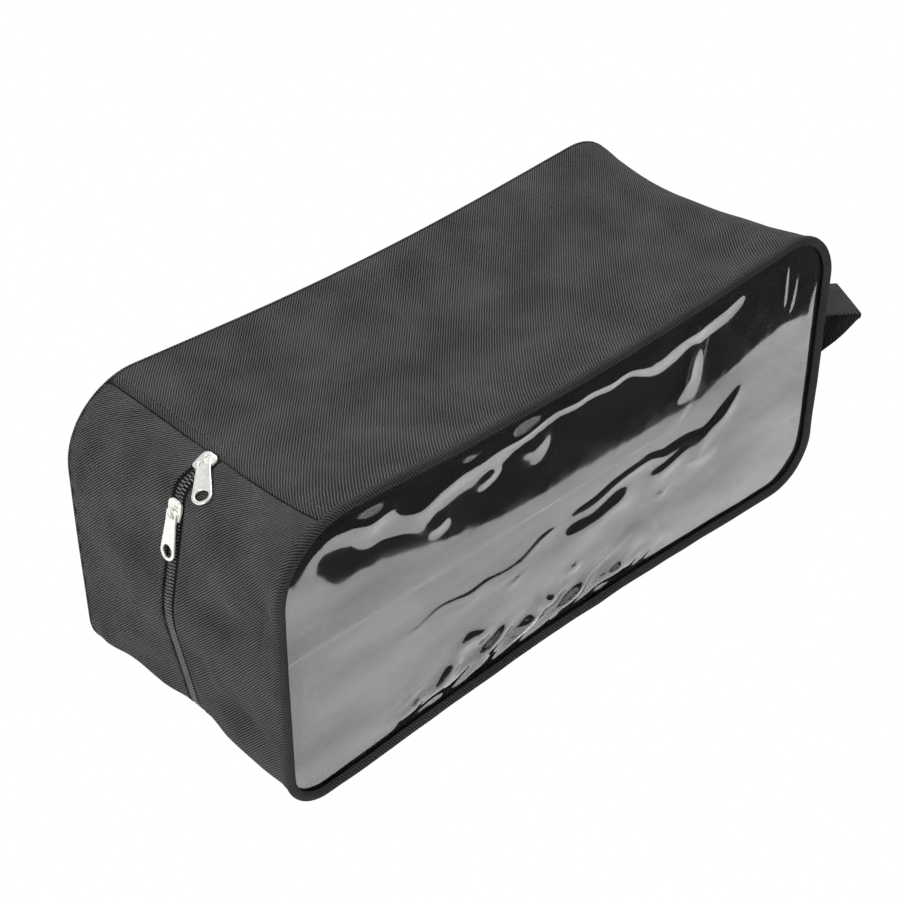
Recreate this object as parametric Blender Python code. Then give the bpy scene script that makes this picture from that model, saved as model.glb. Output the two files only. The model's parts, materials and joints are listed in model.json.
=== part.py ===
"""Shoe bag with a clear front window, a two-slider coil zip and a webbing loop.

Metres, +Z up. The window faces -Y and the zip starts on the left (-X) shoulder.
The bag is one lofted form: an outline in X and Z that changes across the depth Y,
with every sewn piece laid a named distance inside it.
"""
import math

import bmesh
import bpy
from mathutils import Matrix, Vector

# Overall form, measured in the photo against the zip puller and the webbing
BAG_LENGTH = 0.340
BAG_DEPTH = 0.140
FRONT_HEIGHT = 0.1485
BACK_HEIGHT = 0.1435
FAR_RISE = 0.0045
TOP_SAG = 0.007
MIDDLE_DROP = 0.0065
END_BULGE = 0.0042
BULGE_HEIGHT = 0.072
FRONT_EDGE_LIFT = 0.009
LIFT_REACH = 0.016
SHOULDER_RADIUS = 0.038
FAR_SHOULDER_RADIUS = 0.034
NEAR_FOOT_RADIUS = 0.021
FAR_FOOT_RADIUS = 0.027
SEAM_ANGLE = math.radians(20)

# The outline halfway through the depth, where the zip runs
ZIP_CROWN_X = 0.034
ZIP_KNEE_X = 0.009
ZIP_KNEE_DROP = 0.0145
ZIP_KNEE_SETBACK = 0.005
ZIP_CROWN_SETBACK = 0.0065
FOOT_INSET = 0.008
MIDDLE_FOOT_SETBACK = 0.018
BULGE_SETBACK = 0.010
SAG_SETBACK = 0.085
LIFT_SETBACK = 0.070
BELLY_POWER = 2.2

# Cloth, window and tapes
FIT_GAP = 0.0003
FABRIC = 0.0010
WINDOW_THICKNESS = 0.0005
BINDING_WIDTH = 0.0050
BINDING_THICKNESS = 0.0010
SEAM_TAPE = 0.0008
SEAM_TAPE_WIDTH = 0.0060
CROSS_TAPE_WIDTH = 0.0080

# Zip
SLOT_WIDTH = 0.0090
CHAIN_WIDTH = 0.0060
CHAIN_PARTING = 0.0016
COIL_DEPTH = 0.0001
COIL_THICKNESS = 0.0009
ZIP_TAPE_WIDTH = 0.0130
ZIP_TAPE = 0.0006
SLIDER_LENGTH = 0.0096
SLIDER_WIDTH = 0.0082
SLIDER_PLATE = 0.0014
SLIDER_FLOOR = 0.0010
SLIDER_GAP = 0.00035
# Slider's plan and its inner walls, in shares of half its length and half its width
SLIDER_NOSE = ((-1.0, 0.8), (0.0, 1.0), (0.7, 1.0), (1.0, 0.6))
FIN_START_SHARE = 0.2
FLANGE_SHARES = (-0.5, 0.6)
FLANGE_INSET = 0.00003
FLANGE_WIDTH = 0.0007
FIN_WIDTH = 0.0009
FIN_LENGTH = 0.0026
BRIDGE_HOLE = 0.0028
BRIDGE_HOLE_HEIGHT = 0.0017
BRIDGE_BAR = 0.0008
BRIDGE_WIDTH = 0.0010
PULLER_LENGTH = 0.0190
PULLER_THICKNESS = 0.0010
PULLER_NECK = 0.0062
PULLER_END = 0.0086
PULLER_RIM = 0.0014
EYE_LENGTH = 0.0032
EYE_WIDTH = 0.0043
PULLER_TOP_SHARE = 0.8
PULLER_ARC_STEPS = 14
PULLER_HOLE_SIDES = 20
UPPER_SLIDER_SEAM_GAP = 0.0004
LOWER_SLIDER_DROP = 0.0008
UPPER_PULLER_SWING = math.radians(47)

# Webbing loop
HANDLE_HEIGHT = 0.056
WEBBING_WIDTH = 0.025
WEBBING_THICKNESS = 0.0013
TAB_LENGTH = 0.010
LOOP_REACH = 0.084
LOOP_DIP = 0.0135
LOOP_BELLY = 0.036
LOOP_YAW = math.radians(20)
LOOP_TWIST_REACH = 0.030
FOLD_RADIUS = 0.0018
ROOT_MITRE = 0.0011
ROOT_RISE = 0.0012
# Side view of the loop: shares of its reach, with shares of its dip above and of its belly below
ROOT_RISE_SHARE = 0.12
UPPER_LIMB = (0.55, 0.30)
LOWER_LIMB = ((0.84, 0.74), (0.56, 1.0), (0.27, 0.70), (0.08, 0.20))
LIMB_STEPS = 4

ARC_STEPS = 6
MIDDLE_Y = BAG_DEPTH / 2

MATERIALS = {
    "fabric": ((0.055, 0.055, 0.057), 0.85, 0.0),
    "window": ((0.60, 0.61, 0.62), 0.08, 0.0),
    "webbing": ((0.020, 0.020, 0.021), 0.75, 0.0),
    "zip": ((0.012, 0.012, 0.013), 0.55, 0.0),
    "nickel": ((0.80, 0.79, 0.77), 0.22, 1.0),
}


def clear_scene():
    for old in list(bpy.data.objects):
        bpy.data.objects.remove(old, do_unlink=True)


def material(name):
    colour, roughness, metallic = MATERIALS[name]
    found = bpy.data.materials.get(name)
    if found:
        return found
    made = bpy.data.materials.new(name)
    made.use_nodes = True
    shader = made.node_tree.nodes["Principled BSDF"]
    shader.inputs["Base Color"].default_value = (*colour, 1.0)
    shader.inputs["Roughness"].default_value = roughness
    shader.inputs["Metallic"].default_value = metallic
    return made


def blend(edge, middle, weight):
    return tuple(a + (b - a) * weight for a, b in zip(edge, middle))


def corners_at(y):
    """Corner points (x, z, setback) of the bag's outline at depth y, from the shoulder seam down."""
    weight = 1 - abs(2 * y / BAG_DEPTH - 1) ** BELLY_POWER
    top = FRONT_HEIGHT + (BACK_HEIGHT - FRONT_HEIGHT) * y / BAG_DEPTH
    middle_top = (FRONT_HEIGHT + BACK_HEIGHT) / 2 - MIDDLE_DROP
    half_turn = (math.pi / 2 - SEAM_ANGLE) / 2
    knee = SHOULDER_RADIUS * math.tan(half_turn)
    crown = SHOULDER_RADIUS * math.tan(SEAM_ANGLE / 2)
    near_front = max(0.0, 1 - y / LIFT_REACH)
    lift = FRONT_EDGE_LIFT * near_front ** 2
    edge = [
        (0, top - SHOULDER_RADIUS + knee, knee),
        (0, BULGE_HEIGHT, BULGE_SETBACK),
        (0, 0, NEAR_FOOT_RADIUS),
        (BAG_LENGTH / 2, lift, LIFT_SETBACK),
        (BAG_LENGTH, 0, FAR_FOOT_RADIUS),
        (BAG_LENGTH, HANDLE_HEIGHT, BULGE_SETBACK),
        (BAG_LENGTH, top + FAR_RISE, FAR_SHOULDER_RADIUS),
        (BAG_LENGTH / 2, top - TOP_SAG, SAG_SETBACK),
        (SHOULDER_RADIUS - crown, top, crown),
    ]
    middle = [
        (ZIP_KNEE_X, middle_top - ZIP_KNEE_DROP + MIDDLE_DROP, ZIP_KNEE_SETBACK),
        (-END_BULGE, BULGE_HEIGHT, BULGE_SETBACK),
        (FOOT_INSET, 0, MIDDLE_FOOT_SETBACK),
        (BAG_LENGTH / 2, 0, LIFT_SETBACK),
        (BAG_LENGTH - FOOT_INSET, 0, MIDDLE_FOOT_SETBACK),
        (BAG_LENGTH + END_BULGE, HANDLE_HEIGHT, BULGE_SETBACK),
        (BAG_LENGTH, middle_top + FAR_RISE, FAR_SHOULDER_RADIUS),
        (BAG_LENGTH / 2, middle_top - TOP_SAG, SAG_SETBACK),
        (ZIP_CROWN_X, middle_top, ZIP_CROWN_SETBACK),
    ]
    lifted = blend(edge[3], middle[3], weight)
    corners = [blend(a, b, weight) for a, b in zip(edge, middle)]
    corners[3] = (lifted[0], lift, lifted[2])
    return corners


def rounded(before, corner, after):
    """Points of the arc that rounds one corner, touching both sides at the corner's setback."""
    point = Vector(corner[:2])
    setback = corner[2]
    back = (Vector(before[:2]) - point).normalized()
    ahead = (Vector(after[:2]) - point).normalized()
    turn = back.angle(-ahead)
    points = []
    for step in range(ARC_STEPS + 1):
        share = step / ARC_STEPS
        if turn < math.radians(1):
            swing = share
        else:
            swing = 0.5 + math.tan((share - 0.5) * turn) / (2 * math.tan(turn / 2))
        chord = (point + back * setback).lerp(point + ahead * setback, swing)
        if turn >= math.radians(1):
            radius = setback / math.tan(turn / 2)
            centre = point + (back + ahead).normalized() * math.hypot(radius, setback)
            chord = centre + (chord - centre).normalized() * radius
        points.append(chord)
    return points


def outline(y):
    """Closed outline (x, z) at depth y, from the shoulder seam down the left end and round."""
    corners = corners_at(y)
    points = []
    for index, corner in enumerate(corners):
        after = corners[(index + 1) % len(corners)]
        points += rounded(corners[index - 1], corner, after)
    return points[-1:] + points[:-1]


SHOULDER_SEAM = 0
HANDLE_SEAM = 5 * (ARC_STEPS + 1) + ARC_STEPS // 2 + 1


def with_normals(points, closed):
    """Pair each point with the unit direction that leads into the bag."""
    count = len(points)
    pairs = []
    for index, point in enumerate(points):
        before = points[index - 1] if closed or index > 0 else point
        after = points[(index + 1) % count] if closed or index < count - 1 else point
        along = (after - before).normalized()
        pairs.append((point, Vector((-along.y, along.x))))
    return pairs


def ring_at(y):
    return with_normals(outline(y), closed=True)


def trimmed(points, extra=None):
    """Shorten a run at both ends by half a fit, with one more point a distance from its start."""
    points = [p.copy() for p in points]
    first = (points[1] - points[0]).normalized()
    last = (points[-2] - points[-1]).normalized()
    start = points[0]
    points[0] = start + first * FIT_GAP / 2
    points[-1] += last * FIT_GAP / 2
    if extra:
        points.insert(1, start + first * extra)
    return points


def zip_run(y):
    points = outline(y)[SHOULDER_SEAM:HANDLE_SEAM + 1]
    return with_normals(trimmed(points), closed=False)


def plain_run(y):
    loop = outline(y)
    points = loop[HANDLE_SEAM:] + loop[:1]
    notch = 2 * WEBBING_THICKNESS + 3 * FIT_GAP
    return with_normals(trimmed(points, notch), closed=False)


def cut_run(points, start, length):
    """The stretch of a run of points that begins at a distance along it and has a given length."""
    def at(distance):
        for a, b in zip(points, points[1:]):
            step = (b - a).length
            if distance <= step:
                return a.lerp(b, distance / step)
            distance -= step
        return points[-1]
    return [at(start), at(start + length / 2), at(start + length)]


def new_object(name, mesh, finish, smooth=False):
    mesh.materials.append(material(finish))
    if smooth:
        mesh.shade_smooth()
        mesh.set_sharp_from_angle(angle=math.radians(40))
    made = bpy.data.objects.new(name, mesh)
    bpy.context.collection.objects.link(made)
    return made


def mesh_from(bm, name):
    bmesh.ops.recalc_face_normals(bm, faces=bm.faces)
    mesh = bpy.data.meshes.new(name)
    bm.to_mesh(mesh)
    bm.free()
    return mesh


def shell(name, runs, depths, outer, inner, finish, closed=False, hole=None):
    """Closed sheet between two distances inside the outline, over a list of depths.

    runs holds, for each depth, points with their inward directions. hole names the cells
    (place along the run, place across the depth) that are left out.
    """
    bm = bmesh.new()
    rows = len(runs[0])
    columns = len(depths)

    def skin(distance):
        grid = []
        for row in range(rows):
            line = []
            for column in range(columns):
                point, inward = runs[column][row]
                place = point + inward * distance
                line.append(bm.verts.new((place.x, depths[column], place.y)))
            grid.append(line)
        return grid

    outside = skin(outer)
    inside = skin(inner)
    steps = rows if closed else rows - 1
    kept = {(i, j) for i in range(steps) for j in range(columns - 1)} - set(hole or ())
    for i, j in kept:
        k = (i + 1) % rows
        for skin_grid in (outside, inside):
            bm.faces.new((skin_grid[i][j], skin_grid[k][j], skin_grid[k][j + 1]))
            bm.faces.new((skin_grid[i][j], skin_grid[k][j + 1], skin_grid[i][j + 1]))
        sides = {
            (i, j - 1): (i, j, k, j),
            (i, j + 1): (k, j + 1, i, j + 1),
            ((i - 1) % rows if closed else i - 1, j): (i, j + 1, i, j),
            (k if closed else i + 1, j): (k, j, k, j + 1),
        }
        for neighbour, (a, b, c, d) in sides.items():
            if neighbour not in kept:
                bm.faces.new((outside[c][d], outside[a][b], inside[a][b], inside[c][d]))
    loose = [v for v in bm.verts if not v.link_faces]
    bmesh.ops.delete(bm, geom=loose, context="VERTS")
    return new_object(name, mesh_from(bm, name), finish, smooth=True)


def panel(name, near_y, far_y, inset, finish):
    """Flat sheet that fills the outline, drawn in by an inset."""
    bm = bmesh.new()
    pairs = ring_at((near_y + far_y) / 2)
    rims = []
    for y in (near_y, far_y):
        places = [p + inward * inset for p, inward in pairs]
        rims.append([bm.verts.new((p.x, y, p.y)) for p in places])
    bm.faces.new(rims[0])
    bm.faces.new(list(reversed(rims[1])))
    count = len(pairs)
    for i in range(count):
        k = (i + 1) % count
        bm.faces.new((rims[0][k], rims[0][i], rims[1][i], rims[1][k]))
    return new_object(name, mesh_from(bm, name), finish)


def spaced(near, far, steps):
    return [near + (far - near) * step / steps for step in range(steps + 1)]


def make_front():
    band = [0.0, BINDING_THICKNESS]
    edge = ring_at(BINDING_THICKNESS / 2)
    shell("window_binding", [edge, edge], band, 0.0, BINDING_WIDTH, "fabric", closed=True)
    sheet_y = BINDING_THICKNESS + FIT_GAP
    panel("front_window", sheet_y, sheet_y + WINDOW_THICKNESS, FABRIC + FIT_GAP, "window")
    return sheet_y


def make_seam_rings(sheet_y):
    inside = FABRIC + FIT_GAP
    near = sheet_y + WINDOW_THICKNESS + FIT_GAP
    depths = [near, near + SEAM_TAPE_WIDTH]
    runs = [ring_at(y) for y in depths]
    shell("front_seam_tape", runs, depths, inside, inside + SEAM_TAPE, "webbing", closed=True)
    far = BAG_DEPTH - FABRIC - FIT_GAP
    depths = [far - SEAM_TAPE_WIDTH, far]
    runs = [ring_at(y) for y in depths]
    shell("back_seam_tape", runs, depths, inside, inside + SEAM_TAPE, "webbing", closed=True)


def make_gussets(sheet_y):
    back_edge = BAG_DEPTH - FABRIC - FIT_GAP
    panel("back_panel", BAG_DEPTH - FABRIC, BAG_DEPTH, 0.0, "fabric")
    slot = SLOT_WIDTH / 2
    tape_start = sheet_y + WINDOW_THICKNESS + FIT_GAP
    near_seam = [sheet_y, tape_start, tape_start + SEAM_TAPE_WIDTH, LIFT_REACH]
    front = near_seam + spaced(LIFT_REACH, MIDDLE_Y - slot, 4)[1:]
    back = spaced(MIDDLE_Y + slot, back_edge - SEAM_TAPE_WIDTH, 5) + [back_edge]
    shell("zip_gusset_front", [zip_run(y) for y in front], front, 0.0, FABRIC, "fabric")
    shell("zip_gusset_back", [zip_run(y) for y in back], back, 0.0, FABRIC, "fabric")
    half = WEBBING_WIDTH / 2 + FIT_GAP
    across = near_seam + spaced(LIFT_REACH, MIDDLE_Y - half, 3)[1:]
    first_open = len(across) - 1
    across += [MIDDLE_Y]
    across += spaced(MIDDLE_Y + half, back_edge - SEAM_TAPE_WIDTH, 4) + [back_edge]
    notch = [(0, first_open), (0, first_open + 1)]
    runs = [plain_run(y) for y in across]
    shell("plain_gusset", runs, across, 0.0, FABRIC, "fabric", hole=notch)


def make_zip_halves():
    under = FABRIC + FIT_GAP
    parting = CHAIN_PARTING / 2
    chain = CHAIN_WIDTH / 2
    edge = parting + ZIP_TAPE_WIDTH
    for name, side in (("front", -1), ("back", 1)):
        tape = sorted(MIDDLE_Y + side * y for y in (parting, chain, edge))
        coil = sorted(MIDDLE_Y + side * y for y in (parting, chain))
        runs = [zip_run(y) for y in tape]
        shell("zip_tape_" + name, runs, tape, under, under + ZIP_TAPE, "zip")
        runs = [zip_run(y) for y in coil]
        bottom = COIL_DEPTH + COIL_THICKNESS
        shell("zip_coil_" + name, runs, coil, COIL_DEPTH, bottom, "zip")


def make_cross_tapes(sheet_y):
    inside = FABRIC + FIT_GAP
    clear = sheet_y + WINDOW_THICKNESS + SEAM_TAPE_WIDTH + 2 * FIT_GAP
    back = BAG_DEPTH - FABRIC - SEAM_TAPE_WIDTH - 2 * FIT_GAP
    across = spaced(clear, back, 8)

    def tape(name, start, from_shoulder):
        runs = []
        for y in across:
            points = [p for p, inward in plain_run(y)]
            if from_shoulder:
                piece = cut_run(points[::-1], start, CROSS_TAPE_WIDTH)[::-1]
            else:
                piece = cut_run(points, start, CROSS_TAPE_WIDTH)
            runs.append(with_normals(piece, closed=False))
        shell(name, runs, across, inside, inside + SEAM_TAPE, "webbing")

    tape("shoulder_seam_tape", 2 * FIT_GAP, True)
    tape("handle_seam_tape", 2 * WEBBING_THICKNESS + 5 * FIT_GAP, False)


def smooth_path(points, steps):
    """Even curve through hand-chosen points."""
    padded = [points[0]] + points + [points[-1]]
    curve = []
    for a, b, c, d in zip(padded, padded[1:], padded[2:], padded[3:]):
        for step in range(steps):
            t = step / steps
            lean = (c - a) * t + (2 * a - 5 * b + 4 * c - d) * t * t
            curve.append(b + (lean + (3 * b - a - 3 * c + d) * t ** 3) / 2)
    curve.append(points[-1])
    return curve


def handle_root():
    """Where the doubled webbing leaves the right end, on the outside of the cloth."""
    points = plain_run(MIDDLE_Y)
    middle = FIT_GAP + (2 * WEBBING_THICKNESS + FIT_GAP) / 2
    seam = points[0][0]
    upward = (points[1][0] - seam).normalized()
    place = seam + upward * middle
    return Vector((place.x, MIDDLE_Y, place.y))


def loop_centreline():
    """Centre line of the webbing in (reach, height) from its root: out along the top, back below."""
    ply = (WEBBING_THICKNESS + FIT_GAP) / 2
    tip = LOOP_REACH - FOLD_RADIUS
    over = [(0, ply), (tip * ROOT_RISE_SHARE, ply + ROOT_RISE)]
    over += [(tip * UPPER_LIMB[0], -LOOP_DIP * UPPER_LIMB[1]), (tip, FOLD_RADIUS - LOOP_DIP)]
    under = [(tip, -LOOP_DIP - FOLD_RADIUS)]
    under += [(tip * reach, -LOOP_BELLY * drop) for reach, drop in LOWER_LIMB]
    under.append((0, -ply))
    over = smooth_path([Vector(p) for p in over], LIMB_STEPS)
    under = smooth_path([Vector(p) for p in under], LIMB_STEPS)
    fold = [Vector((tip + FOLD_RADIUS * math.cos(a), FOLD_RADIUS * math.sin(a) - LOOP_DIP))
            for a in (math.pi / 4, 0, -math.pi / 4)]
    return over + fold + under


def make_handle():
    root = handle_root()
    line = loop_centreline()
    half = WEBBING_THICKNESS / 2
    bm = bmesh.new()
    rows = []
    for index, centre in enumerate(line):
        before = line[max(index - 1, 0)]
        after = line[min(index + 1, len(line) - 1)]
        along = (after - before).normalized()
        at_root = index in (0, len(line) - 1)
        if at_root:
            along = Vector((1 if index == 0 else -1, 0))
        normal = Vector((-along.y, along.x))
        reach = min(centre.x / LOOP_TWIST_REACH, 1)
        yaw = LOOP_YAW * reach
        drift = -math.tan(LOOP_YAW) * max(centre.x - LOOP_TWIST_REACH / 2 * reach, 0)
        across = Vector((math.sin(yaw), math.cos(yaw), math.sin(yaw) / 2)).normalized()
        row = []
        for side, face in ((-1, 1), (1, 1), (1, -1), (-1, -1)):
            flat = centre + normal * half * face
            clear = FIT_GAP + (ROOT_MITRE if at_root and face > 0 else 0)
            place = Vector((flat.x + clear, drift, flat.y)) + across * (side * WEBBING_WIDTH / 2)
            row.append(bm.verts.new(place))
        rows.append(row)
    for a, b in zip(rows, rows[1:]):
        for i in range(4):
            k = (i + 1) % 4
            bm.faces.new((a[i], a[k], b[k], b[i]))
    bm.faces.new(rows[0])
    bm.faces.new(rows[-1][::-1])
    loop = new_object("handle_loop", mesh_from(bm, "handle_loop"), "webbing", smooth=True)
    loop.location = root
    thick = 2 * WEBBING_THICKNESS + FIT_GAP
    tab_mesh = box_mesh("handle_tab", (-TAB_LENGTH, 0), WEBBING_WIDTH, (-thick / 2, thick / 2))
    tab = new_object("handle_tab", tab_mesh, "webbing")
    tab.location = root


def box_mesh(name, x_range, width, z_range):
    bm = bmesh.new()
    bmesh.ops.create_cube(bm, size=1.0)
    size = (x_range[1] - x_range[0], width, z_range[1] - z_range[0])
    middle = (sum(x_range) / 2, 0, sum(z_range) / 2)
    place = Matrix.Translation(middle) @ Matrix.Diagonal((*size, 1))
    bmesh.ops.transform(bm, matrix=place, verts=bm.verts)
    return mesh_from(bm, name)


def combined(base_mesh, others, operation):
    """Mesh of a base joined with, or cut by, other meshes."""
    base = bpy.data.objects.new("base", base_mesh)
    bpy.context.collection.objects.link(base)
    helpers = []
    for mesh in others:
        helper = bpy.data.objects.new("helper", mesh)
        bpy.context.collection.objects.link(helper)
        helpers.append(helper)
        step = base.modifiers.new("step", "BOOLEAN")
        step.operation = operation
        step.solver = "EXACT"
        step.object = helper
    depsgraph = bpy.context.evaluated_depsgraph_get()
    result = bpy.data.meshes.new_from_object(base.evaluated_get(depsgraph))
    for helper in helpers + [base]:
        bpy.data.objects.remove(helper, do_unlink=True)
    return result


def prism(name, points, z_range):
    bm = bmesh.new()
    rims = [[bm.verts.new((x, y, z)) for x, y in points] for z in z_range]
    bm.faces.new(rims[0][::-1])
    bm.faces.new(rims[1])
    for i in range(len(points)):
        k = (i + 1) % len(points)
        bm.faces.new((rims[0][i], rims[0][k], rims[1][k], rims[1][i]))
    return mesh_from(bm, name)


# Heights of the slider's parts above the cloth's outer face
PLATE_BOTTOM = SLIDER_GAP
PLATE_TOP = PLATE_BOTTOM + SLIDER_PLATE
TAPE_BOTTOM = FABRIC + FIT_GAP + ZIP_TAPE
BRIDGE_TOP = PLATE_TOP + BRIDGE_HOLE_HEIGHT
PIVOT_HEIGHT = PLATE_TOP + BRIDGE_HOLE_HEIGHT / 2


def slider_mesh():
    """Slider in its own frame: +X towards the shoulder seam, +Z out of the bag."""
    half_length = SLIDER_LENGTH / 2
    half_width = SLIDER_WIDTH / 2
    nose = [(half_length * along, -half_width * across) for along, across in SLIDER_NOSE]
    plan = nose + [(x, -y) for x, y in reversed(nose)]
    plate = prism("plate", plan, (PLATE_BOTTOM, PLATE_TOP))
    floor_top = -TAPE_BOTTOM - SLIDER_GAP
    floor = prism("floor", plan, (floor_top - SLIDER_FLOOR, floor_top))
    overlap = SLIDER_FLOOR / 2
    fin_start = half_length * FIN_START_SHARE
    fin_span = (fin_start, fin_start + FIN_LENGTH)
    fin = box_mesh("fin", fin_span, FIN_WIDTH, (floor_top - overlap, PLATE_BOTTOM + overlap))
    lower_half = combined(floor, [fin], "UNION")
    flange_bottom = -TAPE_BOTTOM / 2
    flange_span = [half_length * share for share in FLANGE_SHARES]
    flange_offset = half_width - FLANGE_WIDTH / 2 - FLANGE_INSET
    flanges = []
    for side in (-1, 1):
        flange = box_mesh("flange", flange_span, FLANGE_WIDTH, (flange_bottom, PLATE_BOTTOM + overlap))
        flange.transform(Matrix.Translation((0, side * flange_offset, 0)))
        flanges.append(flange)
    hole = BRIDGE_HOLE / 2
    arch = box_mesh("arch", (-hole - BRIDGE_BAR, hole + BRIDGE_BAR), BRIDGE_WIDTH,
                    (PLATE_TOP - overlap, BRIDGE_TOP + BRIDGE_BAR))
    gap = box_mesh("gap", (-hole, hole), BRIDGE_WIDTH * 2, (PLATE_TOP, BRIDGE_TOP))
    bridge = combined(arch, [gap], "DIFFERENCE")
    return combined(plate, [lower_half, bridge] + flanges, "UNION")


def puller_mesh():
    """Puller in its own frame: hinge on Y at the origin, hanging along -X."""
    half_bar = PULLER_THICKNESS / 2
    end = PULLER_END / 2
    neck = PULLER_NECK / 2
    shoulder = EYE_LENGTH + PULLER_RIM
    centre = -PULLER_LENGTH
    turns = [math.pi * step / PULLER_ARC_STEPS for step in range(PULLER_ARC_STEPS + 1)]
    arc = [(centre - end * math.sin(a), end * math.cos(a)) for a in turns]
    top = neck * PULLER_TOP_SHARE
    plan = [(half_bar, -top), (half_bar, top), (0, neck), (-shoulder, neck)] + arc
    plan += [(-shoulder, -neck), (0, -neck)]
    plate = prism("plate", plan, (-half_bar, half_bar))
    eye = box_mesh("eye", (-EYE_LENGTH, -half_bar), EYE_WIDTH, (-PULLER_THICKNESS, PULLER_THICKNESS))
    ring = end - PULLER_RIM
    turns = [2 * math.pi * step / PULLER_HOLE_SIDES for step in range(PULLER_HOLE_SIDES)]
    circle = [(centre + ring * math.cos(a), ring * math.sin(a)) for a in turns]
    hole = prism("hole", circle, (-PULLER_THICKNESS, PULLER_THICKNESS))
    return combined(plate, [eye, hole], "DIFFERENCE")


def zip_frame(distance, from_knee):
    """Frame on the zip's straight stretch above or below the knee, a distance from its start."""
    points = [p for p, inward in zip_run(MIDDLE_Y)]
    start = points[ARC_STEPS + 1] if from_knee else points[0]
    after = points[ARC_STEPS + 2] if from_knee else points[1]
    down = (after - start).normalized()
    place = start + down * distance
    up = Vector((-down.x, 0, -down.y))
    across = Vector((0, 1, 0))
    out = up.cross(across)
    frame = Matrix((up, across, out)).transposed().to_4x4()
    frame.translation = (place.x, MIDDLE_Y, place.y)
    return frame


def make_slider(name, frame, swing, slider, puller):
    body = new_object(name + "_slider_body", slider.copy(), "nickel")
    body.matrix_world = frame
    pull = new_object(name + "_puller", puller.copy(), "nickel")
    hinge = Matrix.Translation((0, 0, PIVOT_HEIGHT))
    pull.matrix_world = frame @ hinge @ Matrix.Rotation(swing, 4, "Z")


def make_sliders():
    slider = slider_mesh()
    puller = puller_mesh()
    half = SLIDER_LENGTH / 2
    upper = zip_frame(UPPER_SLIDER_SEAM_GAP + half, False)
    lower = zip_frame(LOWER_SLIDER_DROP + half, True)
    make_slider("upper", upper, UPPER_PULLER_SWING, slider, puller)
    make_slider("lower", lower, 0.0, slider, puller)


def centre_on_floor():
    """Hang every piece on one empty and stand the middle of the whole bag's base at the origin."""
    pieces = [o for o in bpy.data.objects if o.type == "MESH"]
    bpy.context.view_layer.update()
    spots = [o.matrix_world @ v.co for o in pieces for v in o.data.vertices]
    low = Vector(min(p[axis] for p in spots) for axis in range(3))
    high = Vector(max(p[axis] for p in spots) for axis in range(3))
    bag = bpy.data.objects.new("shoe_bag", None)
    bpy.context.collection.objects.link(bag)
    for piece in pieces:
        piece.parent = bag
    bag.location = (-(low.x + high.x) / 2, -(low.y + high.y) / 2, -low.z)


def main():
    clear_scene()
    sheet_y = make_front()
    make_seam_rings(sheet_y)
    make_gussets(sheet_y)
    make_zip_halves()
    make_cross_tapes(sheet_y)
    make_handle()
    make_sliders()
    centre_on_floor()


main()
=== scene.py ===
"""Looks of the shoe bag: ribbed black cloth, a creased clear window, a coil zip and a webbing loop.

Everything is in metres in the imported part's frame. The cloth repeats the part's lofted form
with finer steps, and adds sewn edges, puckers and slack.
"""
import json
import math

import bmesh
import bpy
from mathutils import Matrix, Vector, noise


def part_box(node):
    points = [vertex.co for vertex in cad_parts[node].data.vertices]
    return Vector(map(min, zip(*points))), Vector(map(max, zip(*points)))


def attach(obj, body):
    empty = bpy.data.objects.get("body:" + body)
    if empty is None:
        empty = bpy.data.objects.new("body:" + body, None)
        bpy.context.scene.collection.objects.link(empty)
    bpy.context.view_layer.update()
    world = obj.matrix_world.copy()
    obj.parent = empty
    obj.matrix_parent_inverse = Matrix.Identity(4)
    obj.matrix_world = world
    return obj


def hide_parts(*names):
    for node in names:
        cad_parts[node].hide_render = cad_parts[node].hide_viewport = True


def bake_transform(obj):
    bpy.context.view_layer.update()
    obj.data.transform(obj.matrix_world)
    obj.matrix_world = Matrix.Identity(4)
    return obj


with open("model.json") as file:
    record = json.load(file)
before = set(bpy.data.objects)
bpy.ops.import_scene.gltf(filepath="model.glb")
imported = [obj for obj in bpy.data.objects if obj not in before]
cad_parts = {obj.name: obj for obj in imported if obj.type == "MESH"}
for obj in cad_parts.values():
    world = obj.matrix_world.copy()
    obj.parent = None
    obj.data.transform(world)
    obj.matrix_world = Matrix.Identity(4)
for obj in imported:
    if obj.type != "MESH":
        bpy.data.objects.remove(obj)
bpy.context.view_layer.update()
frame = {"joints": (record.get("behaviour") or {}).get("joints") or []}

# The bag's form, the same values as the part
BAG_LENGTH = 0.340
BAG_DEPTH = 0.140
FRONT_HEIGHT = 0.1485
BACK_HEIGHT = 0.1435
FAR_RISE = 0.0045
TOP_SAG = 0.007
MIDDLE_DROP = 0.0065
END_BULGE = 0.0042
BULGE_HEIGHT = 0.072
FRONT_EDGE_LIFT = 0.009
LIFT_REACH = 0.016
SHOULDER_RADIUS = 0.038
FAR_SHOULDER_RADIUS = 0.034
NEAR_FOOT_RADIUS = 0.021
FAR_FOOT_RADIUS = 0.027
SEAM_ANGLE = math.radians(20)
ZIP_CROWN_X = 0.034
ZIP_KNEE_X = 0.009
ZIP_KNEE_DROP = 0.0145
ZIP_KNEE_SETBACK = 0.005
ZIP_CROWN_SETBACK = 0.0065
FOOT_INSET = 0.008
MIDDLE_FOOT_SETBACK = 0.018
BULGE_SETBACK = 0.010
SAG_SETBACK = 0.085
LIFT_SETBACK = 0.070
BELLY_POWER = 2.2
HANDLE_HEIGHT = 0.056
MIDDLE_Y = BAG_DEPTH / 2
ARC_STEPS = 12
STRAIGHT_TURN = math.radians(1)
LIFT_CORNER = 3
HANDLE_CORNER = 5
HANDLE_SEAM = HANDLE_CORNER * (ARC_STEPS + 1) + ARC_STEPS // 2 + 1
ACROSS = Vector((0, 1, 0))

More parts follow.
